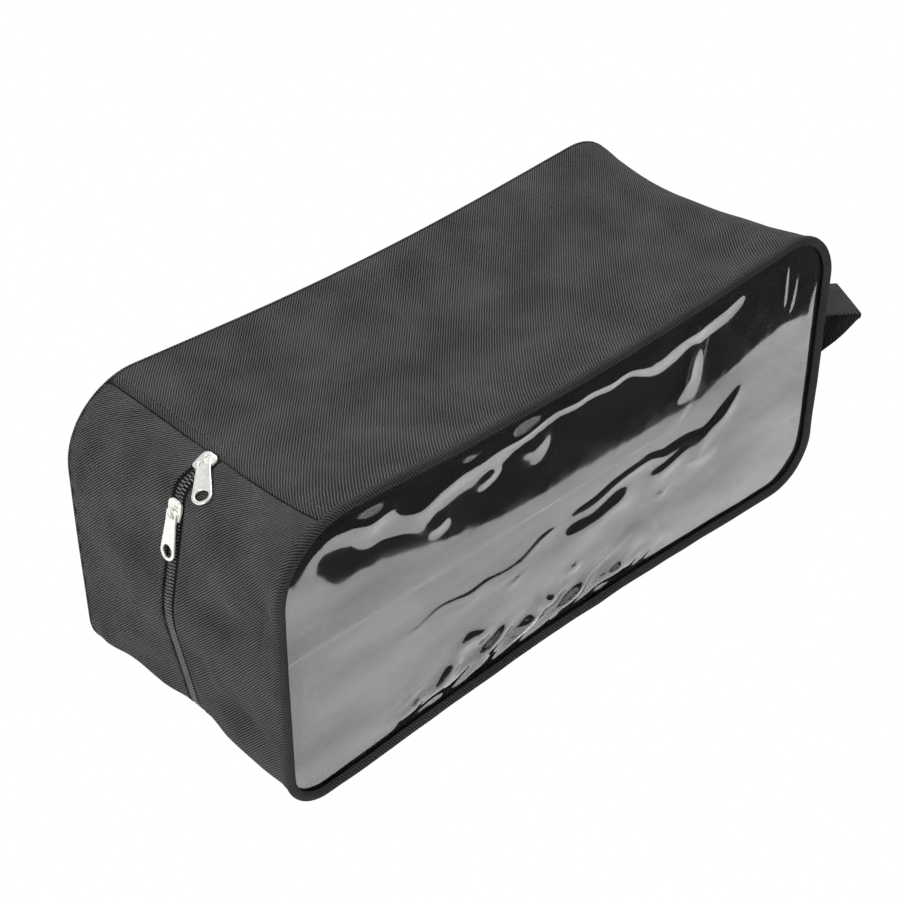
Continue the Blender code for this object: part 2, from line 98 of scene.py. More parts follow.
# Cloth and seams
CLOTH = 0.0009
CLOTH_STEP = 0.0024
SEAM_SINK = 0.0015
SEAM_SINK_REACH = 0.0022
BACK_SEAM_SHARE = 0.3
SEAM_PARTING = 0.0004
SLACK_LARGE = 0.0040
SLACK_LARGE_SIZE = 0.070
SLACK_SMALL = 0.0011
SLACK_SMALL_SIZE = 0.026
SLACK_SHIFT = 0.37
PLAIN_SEED = 3.0
FRONT_SEED = 11.0
BACK_SEED = 17.0
PANEL_SEED = 23.0
PUCKER_HEIGHT = 0.0007
PUCKER_PITCH = 0.010
PUCKER_REACH = 0.009
PUCKER_UNEVEN_SIZE = 0.05
PUCKER_DRIFT = 0.6
PUCKER_DRIFT_SIZE = 0.03
PUCKER_DRIFT_DEPTH = 0.02
PUCKER_DRIFT_SEED = 5.0
EDGE_HOLD = 0.012
END_HOLD = 0.010
FLOOR_HOLD = 0.004
FOLD_SPREAD = 3
SHARP_ANGLE = 50
FRONT_EDGE_Y = 0.0017
BACK_EDGE_Y = 0.1387
TAPE_THICKNESS = 0.0007
TAPE_WIDTH = 0.006
RING_TAPE_STRIPS = 3
RING_ROWS = 360
FRONT_TAPE_Y = 0.0021
BACK_TAPE_Y = 0.1324
RING_TAPE_SINK = 0.0004
CROSS_TAPE_WIDTH = 0.008
CROSS_TAPE_NEAR = 0.0085
CROSS_TAPE_FAR = 0.1315
CROSS_TAPE_STEP = 0.004
CROSS_TAPE_ROWS = 5
CROSS_TAPE_SINK = 0.0006
SHOULDER_TAPE_GAP = 0.0006
HANDLE_TAPE_START = 0.0041
UNDER_CLOTH = 0.0013
SEAM_COVER_REACH = 0.0095
CROSS_COVER_REACH = 0.0145

# Zip
SLOT_HALF = 0.0045
SLOT_HOLD = 0.022
SLOT_COVER_REACH = 0.0115
SLOT_SINK = 0.0011
ZIP_PARTING = 0.0004
ZIP_TAPE_WIDTH = 0.0135
ZIP_TAPE_THICKNESS = 0.0005
ZIP_TAPE_STEP = 0.002
TOOTH_PITCH = 0.0017
TOOTH_LENGTH = 0.0027
TOOTH_WIDTH = 0.00080
TOOTH_HEIGHT = 0.0010
TOOTH_OVERLAP = 0.0002
COIL_SINK = 0.0004
BEAD_SEGMENTS = 8
BEAD_RINGS = 6
BEAD_BLUNT = 0.55
AHEAD_SHARE = 0.3

# Window
WINDOW_INSET = 0.0022
WINDOW_Y = 0.0014
WINDOW_THICKNESS = 0.0004
WINDOW_COLUMNS = 280
WINDOW_ROWS = 120
WINDOW_END_GAP = 0.0002
WINDOW_EVEN_SHARE = 0.75
WINDOW_SHARP = 60
WELT_OUTLINE_Y = 0.0005
WELT_STEPS = 460
WELT_MIDDLE_Y = 0.0012
WELT_SWELL = 0.16
WELT_SWELL_SIZE = 0.018
WELT_SWELL_SEED = 1.0
WELT_WANDER = 0.0004
WELT_WANDER_SIZE = 0.035
WELT_WANDER_SEED = 7.0
WELT_GIRTH = 0.009
WELT_SHARP = 80

# Back panel
BACK_MIDDLE = Vector((BAG_LENGTH / 2, BACK_HEIGHT / 2))
BACK_RINGS = (1.0, 0.996, 0.985, 0.97, 0.95, 0.92, 0.88, 0.82,
              0.74, 0.65, 0.55, 0.45, 0.35, 0.25, 0.15, 0.06)
BACK_SET = 0.0004
BACK_PILLOW = 0.0020
BACK_PILLOW_SHARE = 0.25
BACK_SLACK_SHARE = 0.15
BACK_SLACK_Y = 0.2
BACK_DIP = 0.0006
BACK_DIP_SHARE = 0.012

# Slider and puller
PLATE_BOTTOM = 0.00035
PLATE_THICKNESS = 0.0014
SLIDER_HALF_LENGTH = 0.0048
SLIDER_HALF_WIDTH = 0.0041
FLOOR_TOP = -0.00225
FLOOR_THICKNESS = 0.0010
BRIDGE_HALF = 0.0022
BRIDGE_HOLE_HALF = 0.0014
BRIDGE_HOLE_HEIGHT = 0.0017
BRIDGE_BAR = 0.0008
BRIDGE_WIDTH = 0.0010
PULLER_LENGTH = 0.0190
PULLER_THICKNESS = 0.0010
PULLER_NECK_HALF = 0.0031
PULLER_END_RADIUS = 0.0043
PULLER_HOLE_RADIUS = 0.0029
EYE_START = 0.0005
EYE_LENGTH = 0.0032
EYE_HALF = 0.00215
SLIDER_PLAN = ((-1.0, 0.8), (0.0, 1.0), (0.7, 1.0), (1.0, 0.6))
PLAN_CORNER = 0.0014
PLATE_EDGE = 0.00035
PLATE_BEVEL_STEPS = 3
FLOOR_EDGE = 0.00025
BRIDGE_FOOT = 0.0006
BRIDGE_CORNER = 0.0012
BRIDGE_EDGE = 0.00025
BRIDGE_SINK = 0.0002
HOLE_CORNER = 0.0006
HOLE_SIDES = 40
FIN_START = 0.0009
FIN_END = 0.0035
FIN_HALF = 0.00045
FIN_CORNER = 0.0003
FIN_HEIGHT = 0.0031
FIN_EDGE = 0.0001
FIN_MIDDLE = -0.0010
PULLER_ARC_STEPS = 28
PULLER_TOP = 0.0005
PULLER_TOP_SHARE = 0.7
PULLER_SHOULDER = -0.0006
PULLER_WAIST = -0.0050
PULLER_EDGE = 0.00028
CORNER_STEPS = 5
CORNER_ROOM = 2.2
WELD_GAP = 1e-6
METAL_SHARP = 35

# Webbing loop
WEBBING_WIDTH = 0.025
WEBBING_THICKNESS = 0.0013
TAB_LENGTH = 0.010
LOOP_REACH = 0.084
LOOP_DIP = 0.0135
LOOP_BELLY = 0.036
LOOP_YAW = math.radians(20)
LOOP_TWIST_REACH = 0.030
FOLD_RADIUS = 0.0018
FIT_GAP = 0.0003
ROOT_RISE = 0.0012
ROOT_RISE_SHARE = 0.12
UPPER_LIMB = (0.55, 0.30)
LOWER_LIMB = ((0.84, 0.74), (0.56, 1.0), (0.27, 0.70), (0.08, 0.20))
LIMB_STEPS = 12
LOOP_FOLD_STEPS = 8
TAB_SHARES = (1.0, 0.7, 0.4, 0.15)
WEBBING_UPPER = [(-1.0, 0.3), (-0.96, 0.9), (-0.5, 1.0), (0.0, 1.0), (0.5, 1.0), (0.96, 0.9), (1.0, 0.3)]
WEBBING_SHARP = 70

# Stitches
STITCH = (0.0024, 0.00045, 0.00035)
STITCH_PITCH = 0.0031
STITCH_HEIGHT = 0.0001
STITCH_NEAR = 0.006
STITCH_FAR = 0.134
SHOULDER_STITCH = -0.0045
HANDLE_STITCH = 0.0050
HANDLE_STITCH_GAP = 0.015
ZIP_STITCH_INSET = 0.0016
ZIP_STITCH_START = 0.003
BACK_STITCH_INSET = 0.0045
SEAM_AHEAD = 0.0005

# Camera fitted to the photograph
CAMERA_AZIMUTH = math.radians(-43.63)
CAMERA_ELEVATION = math.radians(37.16)
CAMERA_DISTANCE = 0.81817
CAMERA_TARGET = (0.09191, 0.0, 0.1450)
CAMERA_LENS = 81.97
SENSOR_WIDTH = 36.0

# Stage
FLOOR_TONE = (0.9, 0.9, 0.9, 1)
FLOOR_ROUGHNESS = 0.6
FLOOR_HALF = 6.0
AMBIENT = 0.34
WHITE = (1, 1, 1, 1)

back_low, back_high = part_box("back_panel")
BAG_CORNER = Vector((back_low[0], back_high[1] - BAG_DEPTH, back_low[2]))


# The bag's form

def mixed(edge, middle, weight):
    return tuple(a + (b - a) * weight for a, b in zip(edge, middle))


def corners_at(y):
    """Corner points (x, z, setback) of the bag's outline at depth y, from the shoulder seam down."""
    weight = 1 - abs(2 * y / BAG_DEPTH - 1) ** BELLY_POWER
    top = FRONT_HEIGHT + (BACK_HEIGHT - FRONT_HEIGHT) * y / BAG_DEPTH
    middle_top = (FRONT_HEIGHT + BACK_HEIGHT) / 2 - MIDDLE_DROP
    knee = SHOULDER_RADIUS * math.tan((math.pi / 2 - SEAM_ANGLE) / 2)
    crown = SHOULDER_RADIUS * math.tan(SEAM_ANGLE / 2)
    lift = FRONT_EDGE_LIFT * max(0.0, 1 - y / LIFT_REACH) ** 2
    edge = [
        (0, top - SHOULDER_RADIUS + knee, knee),
        (0, BULGE_HEIGHT, BULGE_SETBACK),
        (0, 0, NEAR_FOOT_RADIUS),
        (BAG_LENGTH / 2, lift, LIFT_SETBACK),
        (BAG_LENGTH, 0, FAR_FOOT_RADIUS),
        (BAG_LENGTH, HANDLE_HEIGHT, BULGE_SETBACK),
        (BAG_LENGTH, top + FAR_RISE, FAR_SHOULDER_RADIUS),
        (BAG_LENGTH / 2, top - TOP_SAG, SAG_SETBACK),
        (SHOULDER_RADIUS - crown, top, crown),
    ]
    middle = [
        (ZIP_KNEE_X, middle_top - ZIP_KNEE_DROP + MIDDLE_DROP, ZIP_KNEE_SETBACK),
        (-END_BULGE, BULGE_HEIGHT, BULGE_SETBACK),
        (FOOT_INSET, 0, MIDDLE_FOOT_SETBACK),
        (BAG_LENGTH / 2, 0, LIFT_SETBACK),
        (BAG_LENGTH - FOOT_INSET, 0, MIDDLE_FOOT_SETBACK),
        (BAG_LENGTH + END_BULGE, HANDLE_HEIGHT, BULGE_SETBACK),
        (BAG_LENGTH, middle_top + FAR_RISE, FAR_SHOULDER_RADIUS),
        (BAG_LENGTH / 2, middle_top - TOP_SAG, SAG_SETBACK),
        (ZIP_CROWN_X, middle_top, ZIP_CROWN_SETBACK),
    ]
    corners = [mixed(a, b, weight) for a, b in zip(edge, middle)]
    x, _, setback = corners[LIFT_CORNER]
    corners[LIFT_CORNER] = (x, lift, setback)
    return corners


def rounded(before, corner, after):
    """Points of the arc that rounds one corner, touching both sides at the corner's setback."""
    point = Vector(corner[:2])
    setback = corner[2]
    back = (Vector(before[:2]) - point).normalized()
    ahead = (Vector(after[:2]) - point).normalized()
    turn = back.angle(-ahead)
    points = []
    for step in range(ARC_STEPS + 1):
        share = step / ARC_STEPS
        if turn < STRAIGHT_TURN:
            swing = share
        else:
            swing = 0.5 + math.tan((share - 0.5) * turn) / (2 * math.tan(turn / 2))
        chord = (point + back * setback).lerp(point + ahead * setback, swing)
        if turn >= STRAIGHT_TURN:
            radius = setback / math.tan(turn / 2)
            centre = point + (back + ahead).normalized() * math.hypot(radius, setback)
            chord = centre + (chord - centre).normalized() * radius
        points.append(chord)
    return points


def outline(y):
    """Closed outline (x, z) at depth y, from the shoulder seam down the left end and round."""
    corners = corners_at(y)
    points = []
    for index, corner in enumerate(corners):
        after = corners[(index + 1) % len(corners)]
        points += rounded(corners[index - 1], corner, after)
    return points[-1:] + points[:-1]


def run_points(y, name):
    """Points of one gusset at depth y: the zip side, the plain side or the whole ring."""
    loop = outline(y)
    if name == "zip":
        return loop[:HANDLE_SEAM + 1]
    if name == "plain":
        return loop[HANDLE_SEAM:] + loop[:1]
    return loop + loop[:1]


def walk(points, distances):
    """Points at the given distances along a run of points."""
    places = []
    index = 0
    start = 0.0
    for distance in distances:
        while index < len(points) - 2 and start + (points[index + 1] - points[index]).length < distance:
            start += (points[index + 1] - points[index]).length
            index += 1
        step = (points[index + 1] - points[index]).length
        share = 0.0 if step == 0 else (distance - start) / step
        places.append(points[index].lerp(points[index + 1], share))
    return places


def run_length(points):
    return sum((b - a).length for a, b in zip(points, points[1:]))


def spaced(near, far, step):
    count = max(1, round((far - near) / step))
    return [near + (far - near) * i / count for i in range(count + 1)]


def ring_places(y, count):
    """Even points round the bag's outline at depth y, and the outline's length."""
    points = run_points(y, "ring")
    whole = run_length(points)
    return walk(points, [whole * i / count for i in range(count)]), whole


def along_ring(places, i):
    """Direction along a closed run at one of its points, and the direction into the bag."""
    along = (places[(i + 1) % len(places)] - places[i - 1]).normalized()
    return along, Vector((-along.y, along.x))


class Patch:
    """Grid on the bag's form: rows along a run, columns across the depth, with outward normals."""

    def __init__(self, name, depths, rows, start=0.0, length=None):
        self.depths = depths
        self.closed = name == "ring"
        self.along = []
        columns = []
        for y in depths:
            points = run_points(y, name)
            whole = run_length(points)
            span = whole - 2 * start if length is None else length
            first = whole + start if start < 0 else start
            distances = [first + span * i / rows for i in range(rows + 1)]
            columns.append([Vector((p.x, y, p.y)) for p in walk(points, distances)])
            self.along.append(distances)
        self.places = [[columns[j][i] for j in range(len(depths))] for i in range(rows + 1)]
        if self.closed:
            self.places = self.places[:-1]
        self.rows = len(self.places)
        self.normals = self.find_normals()

    def find_normals(self):
        normals = []
        last = len(self.depths) - 1
        for i in range(self.rows):
            line = []
            for j in range(last + 1):
                if self.closed:
                    before = self.places[i - 1][j]
                    after = self.places[(i + 1) % self.rows][j]
                else:
                    before = self.places[max(i - 1, 0)][j]
                    after = self.places[min(i + 1, self.rows - 1)][j]
                across = self.places[i][min(j + 1, last)] - self.places[i][max(j - 1, 0)]
                line.append(across.cross(after - before).normalized())
            normals.append(line)
        return normals

    def at(self, i, j, height):
        return self.places[i][j] + self.normals[i][j] * height


def finish_mesh(bm, name, materials, sharp_angle=SHARP_ANGLE):
    bmesh.ops.recalc_face_normals(bm, faces=bm.faces)
    mesh = bpy.data.meshes.new(name)
    bm.to_mesh(mesh)
    bm.free()
    for each in materials:
        mesh.materials.append(each)
    mesh.shade_smooth()
    mesh.set_sharp_from_angle(angle=math.radians(sharp_angle))
    return mesh


def add_object(name, data):
    made = bpy.data.objects.new(name, data)
    bpy.context.scene.collection.objects.link(made)
    return made


def plain_mesh(carrier):
    """Mesh that an object comes to; the object itself is removed."""
    bpy.context.view_layer.update()
    depsgraph = bpy.context.evaluated_depsgraph_get()
    mesh = bpy.data.meshes.new_from_object(carrier.evaluated_get(depsgraph))
    bpy.data.objects.remove(carrier, do_unlink=True)
    return mesh


def placing(first, second, third, origin):
    """Placing with the given axes and origin."""
    made = Matrix((first, second, third)).transposed().to_4x4()
    made.translation = origin
    return made


def add_piece(name, mesh, body, replaced=()):
    piece = add_object(name, mesh)
    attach(piece, body)
    if replaced:
        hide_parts(*replaced)
    return piece


def woven_face(bm, weave, verts, threads):
    """Face whose corners know their place in the weave."""
    face = bm.faces.new(verts)
    for loop, thread in zip(face.loops, threads):
        loop[weave].uv = thread


def cloth_mesh(name, patch, height, thickness, finish):
    """Closed cloth over a patch: height(i, j) is the outer face above the form."""
    bm = bmesh.new()
    weave = bm.loops.layers.uv.new("weave")
    columns = len(patch.depths)
    outer = []
    inner = []
    threads = []
    for i in range(patch.rows):
        rise = [height(i, j) for j in range(columns)]
        outer.append([bm.verts.new(patch.at(i, j, rise[j]) + BAG_CORNER) for j in range(columns)])
        under = [patch.at(i, j, rise[j] - thickness) for j in range(columns)]
        inner.append([bm.verts.new(place + BAG_CORNER) for place in under])
        threads.append([(patch.along[j][i], patch.depths[j]) for j in range(columns)])
    seam_threads = [(patch.along[j][-1], patch.depths[j]) for j in range(columns)]

    def thread(i, j):
        return seam_threads[j] if i == patch.rows else threads[i][j]

    def quad(corners, grid):
        verts = [grid[i % patch.rows][j] for i, j in corners]
        woven_face(bm, weave, verts, [thread(i, j) for i, j in corners])

    steps = patch.rows if patch.closed else patch.rows - 1
    for i in range(steps):
        for j in range(columns - 1):
            corners = ((i, j), (i + 1, j), (i + 1, j + 1), (i, j + 1))
            quad(corners, outer)
            quad(corners[::-1], inner)
    rims = [((i, 0), (i + 1, 0)) for i in range(steps)]
    rims += [((i + 1, columns - 1), (i, columns - 1)) for i in range(steps)]
    if not patch.closed:
        rims += [((0, j + 1), (0, j)) for j in range(columns - 1)]
        rims += [((patch.rows - 1, j), (patch.rows - 1, j + 1)) for j in range(columns - 1)]
    for a, b in rims:
        ends = ((outer, b), (outer, a), (inner, a), (inner, b))
        verts = [grid[i % patch.rows][j] for grid, (i, j) in ends]
        woven_face(bm, weave, verts, [thread(i, j) for grid, (i, j) in ends])
    return finish_mesh(bm, name, [finish])


def wrap_rows(bm, weave, rows, steps, thread):
    """Faces round and along rows of points; thread(row, side) is a corner's place in the weave."""
    sides = len(rows[0])
    for i in range(steps):
        for k in range(sides):
            corners = ((i, k), (i, k + 1), (i + 1, k + 1), (i + 1, k))
            verts = [rows[a % len(rows)][b % sides] for a, b in corners]
            woven_face(bm, weave, verts, [thread(a, b) for a, b in corners])


def smoothstep(low, high, value):
    share = min(max((value - low) / (high - low), 0.0), 1.0)
    return share * share * (3 - 2 * share)


def slack(place, seed):
    """Soft dents of unfilled cloth."""
    shift = Vector((seed, seed * SLACK_SHIFT, -seed))
    large = noise.noise(place / SLACK_LARGE_SIZE + shift) * SLACK_LARGE
    small = noise.noise(place / SLACK_SMALL_SIZE - shift) * SLACK_SMALL
    return large + small


# Soft folds in the cloth: points (x, y, z), how far they stand out, how wide they are
CLOTH_FOLDS = [
    (((0.010, 0.010, 0.120), (0.014, 0.030, 0.122), (0.010, 0.060, 0.118)), 0.0034, 0.006),
    (((0.002, 0.012, 0.100), (0.000, 0.034, 0.088), (-0.003, 0.062, 0.090)), -0.0036, 0.008),
    (((0.001, 0.020, 0.062), (-0.003, 0.044, 0.050), (0.000, 0.064, 0.030)), 0.0034, 0.008),
    (((0.004, 0.012, 0.030), (0.002, 0.036, 0.036), (-0.002, 0.060, 0.058)), -0.0032, 0.008),
    (((0.012, 0.082, 0.124), (0.006, 0.104, 0.112), (0.002, 0.128, 0.104)), 0.0034, 0.008),
    (((-0.003, 0.080, 0.092), (-0.001, 0.100, 0.074), (0.001, 0.128, 0.066)), -0.0036, 0.010),
    (((-0.002, 0.082, 0.050), (0.000, 0.104, 0.036), (0.004, 0.126, 0.022)), 0.0034, 0.009),
    (((0.040, 0.012, 0.144), (0.046, 0.045, 0.140), (0.050, 0.085, 0.138), (0.045, 0.125, 0.139)),
     0.0018, 0.008),
    (((0.120, 0.014, 0.142), (0.150, 0.060, 0.136), (0.170, 0.110, 0.136)), -0.0034, 0.018),
    (((0.225, 0.016, 0.141), (0.235, 0.060, 0.136), (0.262, 0.115, 0.137)), 0.0026, 0.014),
    (((0.285, 0.020, 0.145), (0.305, 0.060, 0.138), (0.310, 0.110, 0.136)), -0.0022, 0.014),
    (((0.338, 0.020, 0.110), (0.342, 0.060, 0.095), (0.340, 0.120, 0.102)), -0.0022, 0.012),
    (((0.341, 0.016, 0.040), (0.344, 0.050, 0.048), (0.344, 0.070, 0.046)), 0.0016, 0.008),
    (((0.344, 0.076, 0.044), (0.343, 0.100, 0.036), (0.340, 0.130, 0.040)), 0.0016, 0.008),
]


def nearest_on_path(points, here):
    """Nearest place on a path: its gap to a point, how far along it lies, its leg's start and direction.

    The path's whole length comes last.
    """
    nearest = None
    run = 0.0
    for a, b in zip(points, points[1:]):
        start = Vector(a)
        leg = Vector(b) - start
        share = min(max((here - start).dot(leg) / leg.length_squared, 0.0), 1.0)
        gap = (here - start - leg * share).length
        if nearest is None or gap < nearest[0]:
            nearest = (gap, run + leg.length * share, start, leg)
        run += leg.length
    return (*nearest, run)


def cloth_fold_height(place):
    """Sum of the soft folds at a point of the cloth."""
    rise = 0.0
    for points, height, width in CLOTH_FOLDS:
        gap = nearest_on_path(points, place)[0]
        if gap < FOLD_SPREAD * width:
            rise += height * math.exp(-(gap / width) ** 2)
    return rise


def edge_sink(distance):
    """How far the cloth dips beside a seam, from the distance to it."""
    return -SEAM_SINK * (1 - smoothstep(0, SEAM_SINK_REACH, distance))


def pucker(along, distance, seed):
    """Small gathers that run out of a sewn edge."""
    fade = math.exp(-distance / PUCKER_REACH)
    uneven = (1 + noise.noise(Vector((along / PUCKER_UNEVEN_SIZE, seed, 0.0)))) / 2
    spot = Vector((along / PUCKER_DRIFT_SIZE, seed + PUCKER_DRIFT_SEED, distance / PUCKER_DRIFT_DEPTH))
    wave = math.sin(2 * math.pi * (along / PUCKER_PITCH + PUCKER_DRIFT * noise.noise(spot)))
    return PUCKER_HEIGHT * fade * uneven * wave


# Finishes

RIB_WANDER = 0.0011
RIB_SHARE = 0.78
FLECK_SHARE = 0.9
TONE_SPREAD = (0.22, 0.86)


def new_material(name):
    made = bpy.data.materials.new(name)
    made.use_nodes = True
    return made, made.node_tree, made.node_tree.nodes["Principled BSDF"]


def fill_inputs(tree, made, inputs):
    """Join sockets to a node's inputs, and set its other inputs to plain values."""
    for key, value in inputs.items():
        if isinstance(value, bpy.types.NodeSocket):
            tree.links.new(value, made.inputs[key])
        else:
            made.inputs[key].default_value = value


def node(tree, kind, inputs=None, **settings):
    made = tree.nodes.new(kind)
    for key, value in settings.items():
        setattr(made, key, value)
    fill_inputs(tree, made, inputs or {})
    return made


def math_node(tree, operation, *values):
    return node(tree, "ShaderNodeMath", dict(enumerate(values)), operation=operation).outputs[0]


def noise_value(tree, place, scale, detail):
    return node(tree, "ShaderNodeTexNoise", {"Vector": place, "Scale": scale, "Detail": detail}).outputs[0]


def ranged(tree, value, source, target):
    """Value moved from one range to another."""
    limits = dict(enumerate((*source, *target), start=1))
    return node(tree, "ShaderNodeMapRange", {0: value, **limits}).outputs[0]


def toned(tree, value, dark, light, spread=(0.0, 1.0)):
    """Colour between a dark and a light tone."""
    ramp = node(tree, "ShaderNodeValToRGB", {0: value})
    for stop, colour, place in zip(ramp.color_ramp.elements, (dark, light), spread):
        stop.position = place
        stop.color = (*colour, 1)
    return ramp.outputs[0]


def bumped(tree, height, strength, distance):
    relief = {"Height": height, "Strength": strength, "Distance": distance}
    return node(tree, "ShaderNodeBump", relief).outputs[0]


def rounded_wave(tree, distance, pitch):
    """Wave between 0 and 1 that repeats at the pitch."""
    turn = math_node(tree, "MULTIPLY", math_node(tree, "DIVIDE", distance, pitch), 2 * math.pi)
    return math_node(tree, "MULTIPLY_ADD", math_node(tree, "SINE", turn), 0.5, 0.5)


def woven_rib_group():
    """Cloth of fine slanting ribs: tone and height from the thread's own coordinates in metres."""
    tree = bpy.data.node_groups.new("woven_rib", "ShaderNodeTree")
    face = tree.interface
    for name in ("Rib Pitch", "Slant", "Yarn Pitch", "Wear"):
        face.new_socket(name, in_out="INPUT", socket_type="NodeSocketFloat")
    for name in ("Tone", "Height"):
        face.new_socket(name, in_out="OUTPUT", socket_type="NodeSocketFloat")
    given = node(tree, "NodeGroupInput")
    result = node(tree, "NodeGroupOutput")
    thread = node(tree, "ShaderNodeUVMap", uv_map="weave").outputs[0]
    split = node(tree, "ShaderNodeSeparateXYZ", {0: thread})
    along, across = split.outputs[0], split.outputs[1]
    stray = math_node(tree, "SUBTRACT", noise_value(tree, thread, scale=260.0, detail=2.0), 0.5)
    wander = math_node(tree, "MULTIPLY", stray, RIB_WANDER)
    lean = math_node(tree, "MULTIPLY", across, given.outputs["Slant"])
    phase = math_node(tree, "ADD", math_node(tree, "ADD", along, lean), wander)
    rib = rounded_wave(tree, phase, given.outputs["Rib Pitch"])
    yarn = rounded_wave(tree, math_node(tree, "SUBTRACT", along, lean), given.outputs["Yarn Pitch"])
    ribbed = math_node(tree, "MULTIPLY", rib, RIB_SHARE)
    woven = math_node(tree, "MULTIPLY_ADD", yarn, 1 - RIB_SHARE, ribbed)
    # Broad cloud in the tone: painted shade, blotches that stand in for the shading of soft dents in the
    # cloth; the group's last input sets their strength.
    cloud = math_node(tree, "SUBTRACT", noise_value(tree, thread, scale=38.0, detail=3.0), 0.5)
    fleck = math_node(tree, "SUBTRACT", noise_value(tree, thread, scale=2400.0, detail=1.0), 0.5)
    painted_shade_blotches = math_node(tree, "MULTIPLY", cloud, given.outputs["Wear"])
    # Tone and height share the rib and yarn pattern, so the colour is darker in the grooves and lighter on
    # the ridges: painted shade of the ribs, with random flecks on top.
    mottled = math_node(tree, "MULTIPLY_ADD", fleck, FLECK_SHARE, woven)
    tree.links.new(math_node(tree, "ADD", mottled, painted_shade_blotches), result.inputs["Tone"])
    tree.links.new(mottled, result.inputs["Height"])
    return tree


WOVEN_RIB = woven_rib_group()


# The last argument sets the strength of the painted shade blotches in the cloth's tone.
def cloth_finish(name, dark, light, rib_pitch, slant, yarn_pitch, bump_depth, roughness, wear_and_painted_shade=0.5):
    made, tree, shader = new_material(name)
    threads = {"Rib Pitch": rib_pitch, "Slant": slant, "Yarn Pitch": yarn_pitch, "Wear": wear_and_painted_shade}
    weave = node(tree, "ShaderNodeGroup", threads, node_tree=WOVEN_RIB)
    # Base colour runs from the dark to the light tone along the rib pattern: painted shade in the rib
    # grooves.
    fill_inputs(tree, shader, {
        "Base Color": toned(tree, weave.outputs["Tone"], dark, light, TONE_SPREAD),
        "Normal": bumped(tree, weave.outputs["Height"], strength=1.0, distance=bump_depth),
        "Roughness": roughness,
        "Specular IOR Level": 0.2,
        "Sheen Weight": 0.03,
        "Sheen Roughness": 0.5,
    })
    return made


def nickel_finish():
    made, tree, shader = new_material("bright_nickel")
    place = node(tree, "ShaderNodeTexCoord").outputs["Object"]
    cast = noise_value(tree, place, scale=420.0, detail=4.0)
    fine = noise_value(tree, place, scale=2600.0, detail=2.0)
    fill_inputs(tree, shader, {
        "Base Color": toned(tree, cast, (0.88, 0.87, 0.83), (0.96, 0.95, 0.90), spread=(0.25, 0.7)),
        "Roughness": ranged(tree, cast, (0.3, 0.7), (0.20, 0.32)),
        "Normal": bumped(tree, fine, strength=0.05, distance=0.00005),
        "Metallic": 0.65,
    })
    return made


def vinyl_finish():
    made, tree, shader = new_material("clear_vinyl")
    place = node(tree, "ShaderNodeTexCoord").outputs["Object"]
    haze = noise_value(tree, place, scale=55.0, detail=3.0)
    ripple = noise_value(tree, place, scale=90.0, detail=1.0)
    bands = node(tree, "ShaderNodeMapping", {
        "Vector": place, "Rotation": (0, math.radians(12), 0), "Scale": (14.0, 14.0, 46.0)})
    cloud = noise_value(tree, bands.outputs[0], scale=1.0, detail=3.0)
    fill_inputs(tree, shader, {
        "Base Color": toned(tree, haze, (0.78, 0.79, 0.80), (0.86, 0.87, 0.88)),
        "Roughness": ranged(tree, haze, (0.35, 0.7), (0.02, 0.07)),
        "Normal": bumped(tree, ripple, strength=0.10, distance=0.0004),
        "Transmission Weight": 1.0,
        "IOR": 1.9,
        "Coat Weight": ranged(tree, cloud, (0.35, 0.65), (0.1, 1.0)),
        "Coat Roughness": 0.03,
        "Coat IOR": 1.6,
    })
    return made


def thread_finish():
    made, tree, shader = new_material("sewing_thread")
    place = node(tree, "ShaderNodeTexCoord").outputs["Object"]
    lint = noise_value(tree, place, scale=1500.0, detail=2.0)
    fill_inputs(tree, shader, {
        "Base Color": toned(tree, lint, (0.030, 0.030, 0.031), (0.085, 0.085, 0.087)),
        "Normal": bumped(tree, lint, strength=0.5, distance=0.0001),
        "Roughness": 0.7,
    })
    return made


def coil_finish():
    made, tree, shader = new_material("nylon_coil")
    place = node(tree, "ShaderNodeTexCoord").outputs["Object"]
    wear_and_painted_shade = noise_value(tree, place, scale=300.0, detail=3.0)
    fill_inputs(tree, shader, {
        "Base Color": toned(tree, wear_and_painted_shade, (0.060, 0.060, 0.061), (0.160, 0.160, 0.162)),
        "Roughness": ranged(tree, wear_and_painted_shade, (0.3, 0.7), (0.22, 0.36)),
    })
    return made


# The plain and zip sides get the strongest painted shade blotches; the other cloths keep the default
# strength.
PLAIN_CLOTH = cloth_finish(
    "ribbed_cloth_plain_side", dark=(0.0008, 0.0008, 0.0010), light=(0.089, 0.089, 0.091),
    rib_pitch=0.0016, slant=1.0, yarn_pitch=0.0008, bump_depth=0.00045, roughness=0.78, wear_and_painted_shade=0.72)
ZIP_CLOTH = cloth_finish(
    "ribbed_cloth_zip_side", dark=(0.0004, 0.0004, 0.0005), light=(0.122, 0.122, 0.124),
    rib_pitch=0.0015, slant=-1.0, yarn_pitch=0.0008, bump_depth=0.00065, roughness=0.78, wear_and_painted_shade=0.95)
BACK_CLOTH = cloth_finish(
    "ribbed_cloth_back", dark=(0.0008, 0.0008, 0.0010), light=(0.098, 0.098, 0.100),
    rib_pitch=0.0016, slant=1.0, yarn_pitch=0.0008, bump_depth=0.00045, roughness=0.78)
BINDING_CLOTH = cloth_finish(
    "binding_cloth", dark=(0.0015, 0.0015, 0.0018), light=(0.055, 0.055, 0.057),
    rib_pitch=0.0014, slant=0.8, yarn_pitch=0.0008, bump_depth=0.00040, roughness=0.78)
